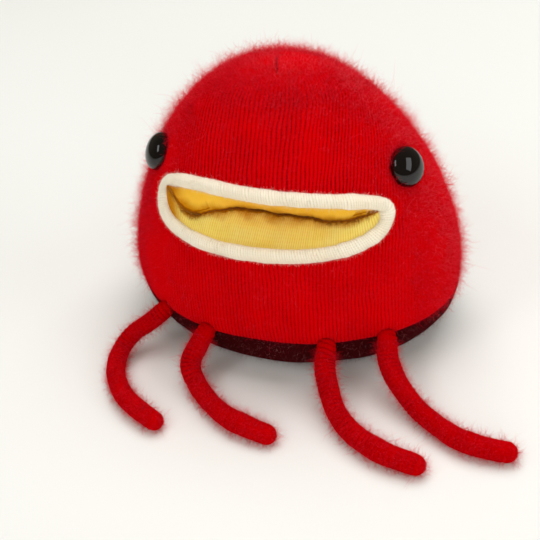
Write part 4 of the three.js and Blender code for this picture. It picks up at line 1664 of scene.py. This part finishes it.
@dataclass
class BodyHaze:
    """The nap and the loose wool over the red cover, and the sparse light fibres on the base."""

    hair: bpy.types.Material
    base_hair: bpy.types.Material
    nap: Fuzz = Fuzz(2.0, (0.8, 1.9), 0.078, 0.55, 0.4, tone=(0.25, 0.65), lighten=0.2)
    strays: Fuzz = Fuzz(0.28, (1.6, 3.0), 0.08, 0.6, 0.5, joints=3, wave=0.11, tone=(0.0, 0.75), lighten=0.1)
    wisps: Fuzz = Fuzz(0.46, (0.9, 2.7), 0.12, 0.7, 0.7, joints=3, wave=0.16, tone=(0.15, 0.7), lighten=0.1)
    curls: Fuzz = Fuzz(0.014, (4.0, 8.0), 0.07, 2.0, 0.8, joints=6, wave=0.16, tone=(0.55, 0.85))
    lint: Fuzz = Fuzz(0.26, (1.0, 2.8), 0.09, 1.2, 0.6, joints=3, wave=0.12, tone=(0.0, 0.8))
    face: float = 0.8  # how long the nap is over the face, as a share of the usual length
    long_side: float = 2.6  # how much longer the loose fibres are at the sides, over the crown and behind
    long_nap: float = 1.05  # and the nap itself
    crown_nap: float = 1.05  # and what the crown adds to that
    painted_glow: float = 0.2  # painted light: how much lighter the fibres are painted where light shines through them
    painted_glow_sides: Span = (56.0, 80.0)  # that is at the sides, between these angles in degrees
    painted_glow_crown: Span = (131.0, 137.0)  # and on the crown, between these heights
    long_sides: Span = (38.0, 72.0)  # the fibres grow longer between these angles
    long_crown: Span = (116.0, 134.0)  # and between these heights
    wisp_reach: float = 1.6  # wisps grow only where the fibres are this much longer
    hang: float = 0.8  # how far the nap hangs down over the seam of the base
    middle: float = 72.0  # where the lower pieces end
    seed: int = 11

    @staticmethod
    def scatter(rng: np.random.Generator, per_square: float, low: float, high: float) -> tuple[Array, Array]:
        """Spreads places evenly over the body between two lengths up its profile.

        Args:
            rng: the source of the places.
            per_square: places on each square millimetre.
            low: where on the profile they begin.
            high: where they end.

        Returns:
            Angles round the body and lengths up the profile.
        """
        lengths = np.linspace(low, high, 800)
        width = BODY.at("width", lengths)
        slope = np.abs(BODY.at("width_slope", lengths))
        climb = np.abs(BODY.at("height_slope", lengths))
        whole = float(BODY.around_at(np.array(math.pi)))
        ring = 2 * whole * width * (climb + slope * 0.87)
        area = np.concatenate([[0], np.cumsum((ring[1:] + ring[:-1]) / 2 * np.diff(lengths))])
        count = int(area[-1] * per_square)
        along = np.interp(rng.uniform(0, area[-1], count), area, lengths)
        turn = BODY.turn_at(rng.uniform(-1, 1, count) * whole)
        return turn, along

    @staticmethod
    def free(points: Array) -> Array:
        """Which places lie clear of the mouth, the eyes and the legs' roots."""
        x, y, height = points.T
        clear = (MOUTH.depth(x, height) > 1.1) | (y > 0)
        for eye in EYES.values():
            centre, _ = eye.centre()
            clear &= np.linalg.norm(points - centre, axis=1) > eye.radius - 0.3
        for leg in LEGS:
            clear &= np.linalg.norm(points - leg.root(), axis=1) > LEG_ROOT_ROOM + 0.2
        return clear

    def reach(self, turn: Array, points: Array) -> Array:
        """How much longer the nap is at a place: it lies short over the face, where it is rubbed."""
        aside = smooth_step(*np.radians(self.long_sides), np.abs(turn))
        high = smooth_step(*self.long_crown, points[:, 2])
        patchy = 0.9 + 0.2 * lumps(points, 20, 61)
        return self.face + (self.long_side - self.face) * np.maximum(aside, high) * patchy

    def build(self) -> None:
        """Grows the haze in eight parts of the body, and the lint on the base."""
        rng = np.random.default_rng(self.seed)
        grown = []
        for kind in (self.nap, self.strays, self.wisps, self.curls):
            turn, along = self.scatter(rng, kind.per_square, BODY.seam + 0.6, BODY.top - 0.3)
            skin = BODY.points(turn, along)
            keep = self.free(skin)
            if kind is self.wisps:
                keep &= self.reach(turn, skin) > self.wisp_reach
            turn, along, skin = turn[keep], along[keep], skin[keep]
            outward = BODY.normals(turn, along)
            roots = skin - outward * (BODY.drawn_in(skin) + 0.15)[:, None]
            hang = self.hang * (1 - smooth_step(0, 5, along - BODY.seam))
            outward = unit(outward - UP * hang[:, None])
            reach = np.ones(len(skin)) if kind is self.curls else self.reach(turn, skin)
            if kind is self.nap:
                high = smooth_step(*self.long_crown, skin[:, 2])
                reach = np.minimum(reach, self.long_nap + self.crown_nap * high)
            # painted glow: fibres at the sides and on the crown are drawn lighter, where light shines through
            # them
            edge = smooth_step(*np.radians(self.painted_glow_sides), np.abs(turn))
            lift = self.painted_glow * np.maximum(edge, smooth_step(*self.painted_glow_crown, skin[:, 2]))
            grown.append((kind, roots, outward, reach, lift))
        halves = product((("front", -1), ("back", 1)), Side, (("lower", -1), ("upper", 1)))
        for (face, sign_y), side, (level, sign_z) in halves:
            parts = []
            for kind, roots, outward, reach, lift in grown:
                here = (roots[:, 0] * side.value > 0) & (roots[:, 1] * sign_y > 0)
                here &= (roots[:, 2] - self.middle) * sign_z > 0
                parts.append(kind.grow(roots[here], outward[here], rng, reach[here], lift[here]))
            Strands.merge(parts).make(f"haze_{face}_{side.name.lower()}_{level}", self.hair, "red_knit")
        turn, along = self.scatter(rng, self.lint.per_square, 1.0, BODY.seam - 0.5)
        roots = BODY.points(turn, along, -0.5)
        keep = self.free(roots) & (roots[:, 2] > 1.5)
        lint = self.lint.grow(roots[keep], BODY.normals(turn[keep], along[keep]), rng)
        lint.make("haze_base", self.base_hair, "dark_knit")


@dataclass
class LegHaze:
    """The haze of loose wool on a leg."""

    limb: Limb
    hair: bpy.types.Material
    nap: Fuzz = Fuzz(1.6, (0.6, 1.5), 0.073, 0.7, 0.4, tone=(0.1, 0.6))
    strays: Fuzz = Fuzz(1.0, (1.5, 4.7), 0.1, 0.6, 0.7, joints=3, wave=0.14, tone=(0.05, 0.65), lighten=0.1)
    seed: int = 40

    def build(self) -> None:
        """Grows the leg's haze."""
        rng = np.random.default_rng(self.seed + len(self.limb.place.name))
        parts = []
        for kind in (self.nap, self.strays):
            area = 2 * math.pi * max(self.limb.place.radii) * (self.limb.length + self.limb.tip_radius)
            count = int(area * kind.per_square)
            share = rng.uniform(0.02, 1 + 0.95 * self.limb.tip_radius / self.limb.length, count)
            turn = rng.uniform(0, 2 * math.pi, count)
            roots, outward = self.limb.surface(share, turn, np.full(count, -0.1))
            parts.append(kind.grow(roots, outward, rng))
        name = self.limb.place.name
        Strands.merge(parts).make(f"haze_leg_{name}", self.hair, "red_knit", f"{name}_leg")


@dataclass
class LipHaze:
    """The short soft fibres that blur the edge of the cream band."""

    lip: Lip
    hair: bpy.types.Material
    nap: Fuzz = Fuzz(2.8, (0.7, 2.1), 0.1, 0.8, 0.6, joints=2, tone=(0.1, 0.8))
    seed: int = 77

    def build(self) -> None:
        """Grows the fibres on the band's outer half."""
        rng = np.random.default_rng(self.seed)
        middle, forward, across, outward = self.lip.frames()
        length = float(np.linalg.norm(np.roll(middle, -1, 0) - middle, axis=1).sum())
        count = int(length * math.pi * self.lip.across_radius * self.nap.per_square)
        which = rng.integers(0, len(middle), count)
        turn = rng.uniform(-0.25, math.pi + 0.25, (count, 1))
        away = across[which] * np.cos(turn) + outward[which] * np.sin(turn)
        astray = forward[which] * rng.uniform(-0.2, 0.2, (count, 1))
        roots = middle[which] + away * (self.lip.out_radius - 0.2) + astray
        self.nap.grow(roots, away, rng).make("haze_lip", self.hair, "cream_knit")


@dataclass
class SeamFluff:
    """The brown fluff along the seam inside the pocket, whose dark brown is partly painted shade of the
    seam's deep fold.
    """

    seam: PocketSeam
    hair: bpy.types.Material
    nap: Fuzz = Fuzz(11.0, (0.9, 2.8), 0.14, 1.1, 0.7, joints=2, tone=(0.0, 0.8), lighten=0.1)
    seed: int = 78

    def build(self) -> None:
        """Grows the fibres out of the slit."""
        rng = np.random.default_rng(self.seed)
        low, high = self.seam.knots[0][0] + 0.5, self.seam.knots[-1][0] - 1
        count = int((high - low) * self.nap.per_square)
        roots = self.seam.at(rng.uniform(low, high, count)) + rng.normal(size=(count, 3)) * (0, 0.2, 0.45)
        roots[:, 1] -= 1.0
        outward = np.broadcast_to(unit(np.array([0.0, -1.0, 0.25])), roots.shape)
        self.nap.grow(roots, outward, rng).make("haze_pocket_seam", self.hair, "yellow_knit")


# ---- inside


@dataclass
class Inside:
    """What the cover holds: the fibre filling, and the washers that lock the eyes."""

    filling: bpy.types.Material
    washer: bpy.types.Material

    def build(self) -> None:
        """Makes the filling from its solid, with a tufted surface, and finishes the washers."""
        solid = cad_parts["body_stuffing"]
        mesh = solid.data.copy()
        mesh.name = "fibre_filling"
        work = bmesh.new()
        work.from_mesh(mesh)
        bmesh.ops.remove_doubles(work, verts=work.verts, dist=1e-6)
        work.to_mesh(mesh)
        work.free()
        mesh.materials.clear()
        mesh.materials.append(self.filling)
        piece = bpy.data.objects.new("fibre_filling", mesh)
        bpy.context.scene.collection.objects.link(piece)
        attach(piece, "body")
        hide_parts("body_stuffing")
        report(piece)
        for side in Side:
            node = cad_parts[f"eye_washer_{side.name.lower()}"]
            for slot in node.material_slots:
                slot.material = self.washer
            report(node)


# ---- studio


@dataclass(frozen=True)
class Lamp:
    """A soft lamp that faces the toy, with its place and size in metres and its power in watts."""

    name: str
    place: tuple[float, float, float]
    size: tuple[float, float]
    power: float
    mirrored: bool = True  # whether glossy surfaces show it, as they show a window but not a screened lamp
    roll: float = 0.0  # how far it is turned about its own axis, in degrees

    def hang(self, colour: str, aim: Vector) -> None:
        """Hangs the lamp.

        Args:
            colour: the colour of its light.
            aim: the place that it faces.
        """
        data = bpy.data.lights.new(self.name, "AREA")
        data.shape = "RECTANGLE"
        data.size, data.size_y = self.size
        data.energy = self.power
        data.color = linear(colour)[:3]
        lamp = bpy.data.objects.new(self.name, data)
        bpy.context.scene.collection.objects.link(lamp)
        lamp.visible_glossy = self.mirrored
        lamp.location = self.place
        lamp.rotation_mode = "QUATERNION"
        turn = Matrix.Rotation(math.radians(self.roll), 4, "Z").to_quaternion()
        lamp.rotation_quaternion = (aim - Vector(self.place)).to_track_quat("-Z", "Y") @ turn


@dataclass
class Studio:
    """A pale floor under a soft overhead light, and the camera at the photograph's angle."""

    camera_place: tuple[float, float, float] = (128.1, -392.61, 334.11)
    camera_right: tuple[float, float, float] = (0.95573, 0.28226, -0.08319)
    camera_up: tuple[float, float, float] = (-0.10873, 0.60144, 0.79148)
    lens: float = 68.44
    floor_half: float = 6.0  # metres
    floor_colours: tuple[str, str] = ("f3f2ec", "f5f4ef")
    lamp_colour: str = "f3f7fa"
    lamp_aim: tuple[float, float, float] = (0.0, 0.0, 0.05)
    lamps: tuple[Lamp, ...] = (
        Lamp("overhead", (0.06, 0.5, 1.42), (1.5, 1.2), 20.2, mirrored=False),
        Lamp("window_left", (-0.52, -0.61, 0.89), (0.3, 0.6), 2.0, roll=39),
        Lamp("window_right", (1.08, -0.15, 0.71), (0.5, 0.95), 3.1, roll=-47),
        Lamp("front", (0.35, -1.3, 0.62), (1.5, 1.0), 9.2, mirrored=False),
    )
    room_colour: str = "ffeed2"
    room_strength: float = 0.18

    def camera(self) -> None:
        """Makes the camera."""
        data = bpy.data.cameras.new("camera")
        data.sensor_width = 36
        data.lens = self.lens
        camera = bpy.data.objects.new("camera", data)
        bpy.context.scene.collection.objects.link(camera)
        right, up = Vector(self.camera_right), Vector(self.camera_up)
        back = right.cross(up)
        turn = Matrix((right, up, back)).transposed()
        camera.matrix_world = Matrix.Translation(Vector(self.camera_place) * MM) @ turn.to_4x4()
        bpy.context.scene.camera = camera

    def floor(self) -> None:
        """Makes the floor."""
        material, tree = new_material("painted_board")
        where = add_node(tree, Kind.PLACE).outputs["Object"]
        cloud = add_node(tree, Kind.NOISE, {"Vector": where, "Scale": 3.0, "Detail": 2.0}).outputs[0]
        ramp = add_node(tree, Kind.RAMP, {0: cloud})
        set_ramp(ramp, list(zip((0.3, 0.7), self.floor_colours)))
        plain = add_node(tree, Kind.DIFFUSE, {0: ramp.outputs[0]}).outputs[0]
        add_node(tree, Kind.OUTPUT, {0: plain})
        bpy.ops.object.select_all(action="DESELECT")
        bpy.ops.mesh.primitive_plane_add(size=2 * self.floor_half, location=(0, 0, 0))
        floor = bpy.context.object
        floor.name = "floor"
        floor.data.materials.append(material)

    def room(self) -> None:
        """Makes the room's dim warm light."""
        world = bpy.data.worlds.new("room")
        world.use_nodes = True
        tree = world.node_tree
        tree.nodes.clear()
        light = add_node(tree, Kind.BACKGROUND, {0: linear(self.room_colour), 1: self.room_strength})
        add_node(tree, Kind.WORLD_OUTPUT, {0: light.outputs[0]})
        bpy.context.scene.world = world

    def build(self) -> None:
        """Sets up the camera, the floor and the light."""
        self.camera()
        self.floor()
        self.room()
        for lamp in self.lamps:
            lamp.hang(self.lamp_colour, Vector(self.lamp_aim))
        bpy.context.scene.view_settings.view_transform = "Standard"


def main() -> None:
    """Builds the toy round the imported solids, piece by piece, and its studio."""
    logging.basicConfig(level=logging.INFO, format="%(message)s")
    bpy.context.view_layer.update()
    # Lambswool knit, fulled and brushed: matt and saturated, its stitches blurred by nap, with painted shade
    # between them
    red_knit = KnitFinish(
        "brushed_lambswool_red",
        yarn="d60004",
        lit_yarn="e60308",
        groove_shade="380002",
        shade="8c0002",
        crease_shade="480003",
        sheen=0.38,
    ).make()
    # The legs' lambswool is felted harder: darker, and its stitches all but gone
    leg_knit = KnitFinish(
        "felted_lambswool_red",
        yarn="b80003",
        lit_yarn="cc0206",
        groove_shade="6a0004",
        shade="8a0003",
        crease_shade="4a0003",
        cloud_size=9.0,
    ).make()
    # The same wool dyed near black: it swallows light and shows only its haze
    dark_knit = KnitFinish(
        "brushed_lambswool_dark",
        yarn="36070a",
        lit_yarn="440b10",
        groove_shade="160304",
        shade="1c0405",
        crease_shade="0c0202",
        sheen_tint="a04040",
        sheen=0.1,
    ).make()
    # Bulky cotton rib: pale and chalky, its close ribs hardly shaded between
    cream_knit = KnitFinish(
        "ribbed_cotton_cream",
        yarn="fff1d8",
        lit_yarn="fff9ea",
        groove_shade="d2c496",
        shade="d8c8a0",
        crease_shade="b89c70",
        groove_start=0.42,
        joined=0.15,
        sheen_tint="ffffff",
        sheen=0.3,
    ).make()
    # Fine merino jersey: soft yellow with faint ochre painted shade between its wales; the roof's darker
    # golden copy is painted shade, where the roof faces down into the mouth
    yellow_knit, roof_shade_knit = (
        KnitFinish(
            f"merino_jersey_{shade}",
            yarn=yarn,
            lit_yarn=lit_yarn,
            groove_shade=groove_shade,
            shade="cc8000",
            crease_shade="a85500",
            cloud_size=11.0,
            stitch_relief=0.08,
            sheen_tint="ffd868",
            sheen=0.3,
        ).make()
        for shade, yarn, lit_yarn, groove_shade in (
            ("yellow", "ffe774", "fff092", "f2b236"),
            ("golden", "ffc43a", "ffd254", "eea62c"),
        )
    )
    # Loose ends of the same yarns: thin fibres whose rims catch the light, dark at one end of their range
    red_hair = HairFinish(
        "loose_lambswool_red",
        ((0.0, "7c0106"), (0.3, "dc020a"), (0.7, "f6122c"), (1.0, "ff6a74")),
        sheen_tint="ff4058",
        sheen=0.8,
    ).make()
    base_hair = HairFinish(
        "loose_lambswool_dark", ((0.0, "2c080a"), (0.5, "7c2a2e"), (1.0, "b88080")), sheen_tint="ffd0d0"
    ).make()
    cream_hair = HairFinish(
        "loose_cotton_cream",
        ((0.0, "efe6c8"), (0.6, "fbf6e4"), (1.0, "ffffff")),
        sheen_tint="ffffff",
        sheen=0.1,
    ).make()
    # Brown fibres at the pocket's seam, their dark brown partly painted shade of the deep fold
    brown_hair = HairFinish(
        "loose_merino_brown",
        ((0.0, "642f04"), (0.6, "b06a10"), (1.0, "e4aa3c")),
        sheen_tint="fff0c0",
        sheen=0.1,
    ).make()
    # Crimped polyester: white, and it scatters light through its tufts
    filling = FillingFinish().make()
    # Polished black acrylic: near-black with a brown depth, under a mirror-like skin
    eye_plastic = PlasticFinish("polished_black_acrylic", "030202", "0c0505", 0.04).make()
    # Moulded polythene: milky and slightly waxy
    washer_plastic = PlasticFinish("moulded_polythene", "dedede", "eeeeec", 0.4).make()

    Studio().build()
    for panel in Panel:
        CoverPanel(panel, red_knit).build()
    Base(dark_knit).build()
    lip = Lip(cream_knit)
    lip.build()
    seam = PocketSeam()
    for lining in Lining:
        PocketPanel(lining, seam, roof_shade_knit if lining is Lining.ROOF else yellow_knit).build()
    for side in Side:
        Eye(side, eye_plastic).build()
    limbs = [Leg(place, leg_knit, filling, seed=60 + 10 * k).build() for k, place in enumerate(LEGS)]
    Inside(filling, washer_plastic).build()
    BodyHaze(red_hair, base_hair).build()
    LipHaze(lip, cream_hair).build()
    SeamFluff(seam, brown_hair).build()
    for limb in limbs:
        LegHaze(limb, red_hair).build()


if __name__ == "__main__":
    main()
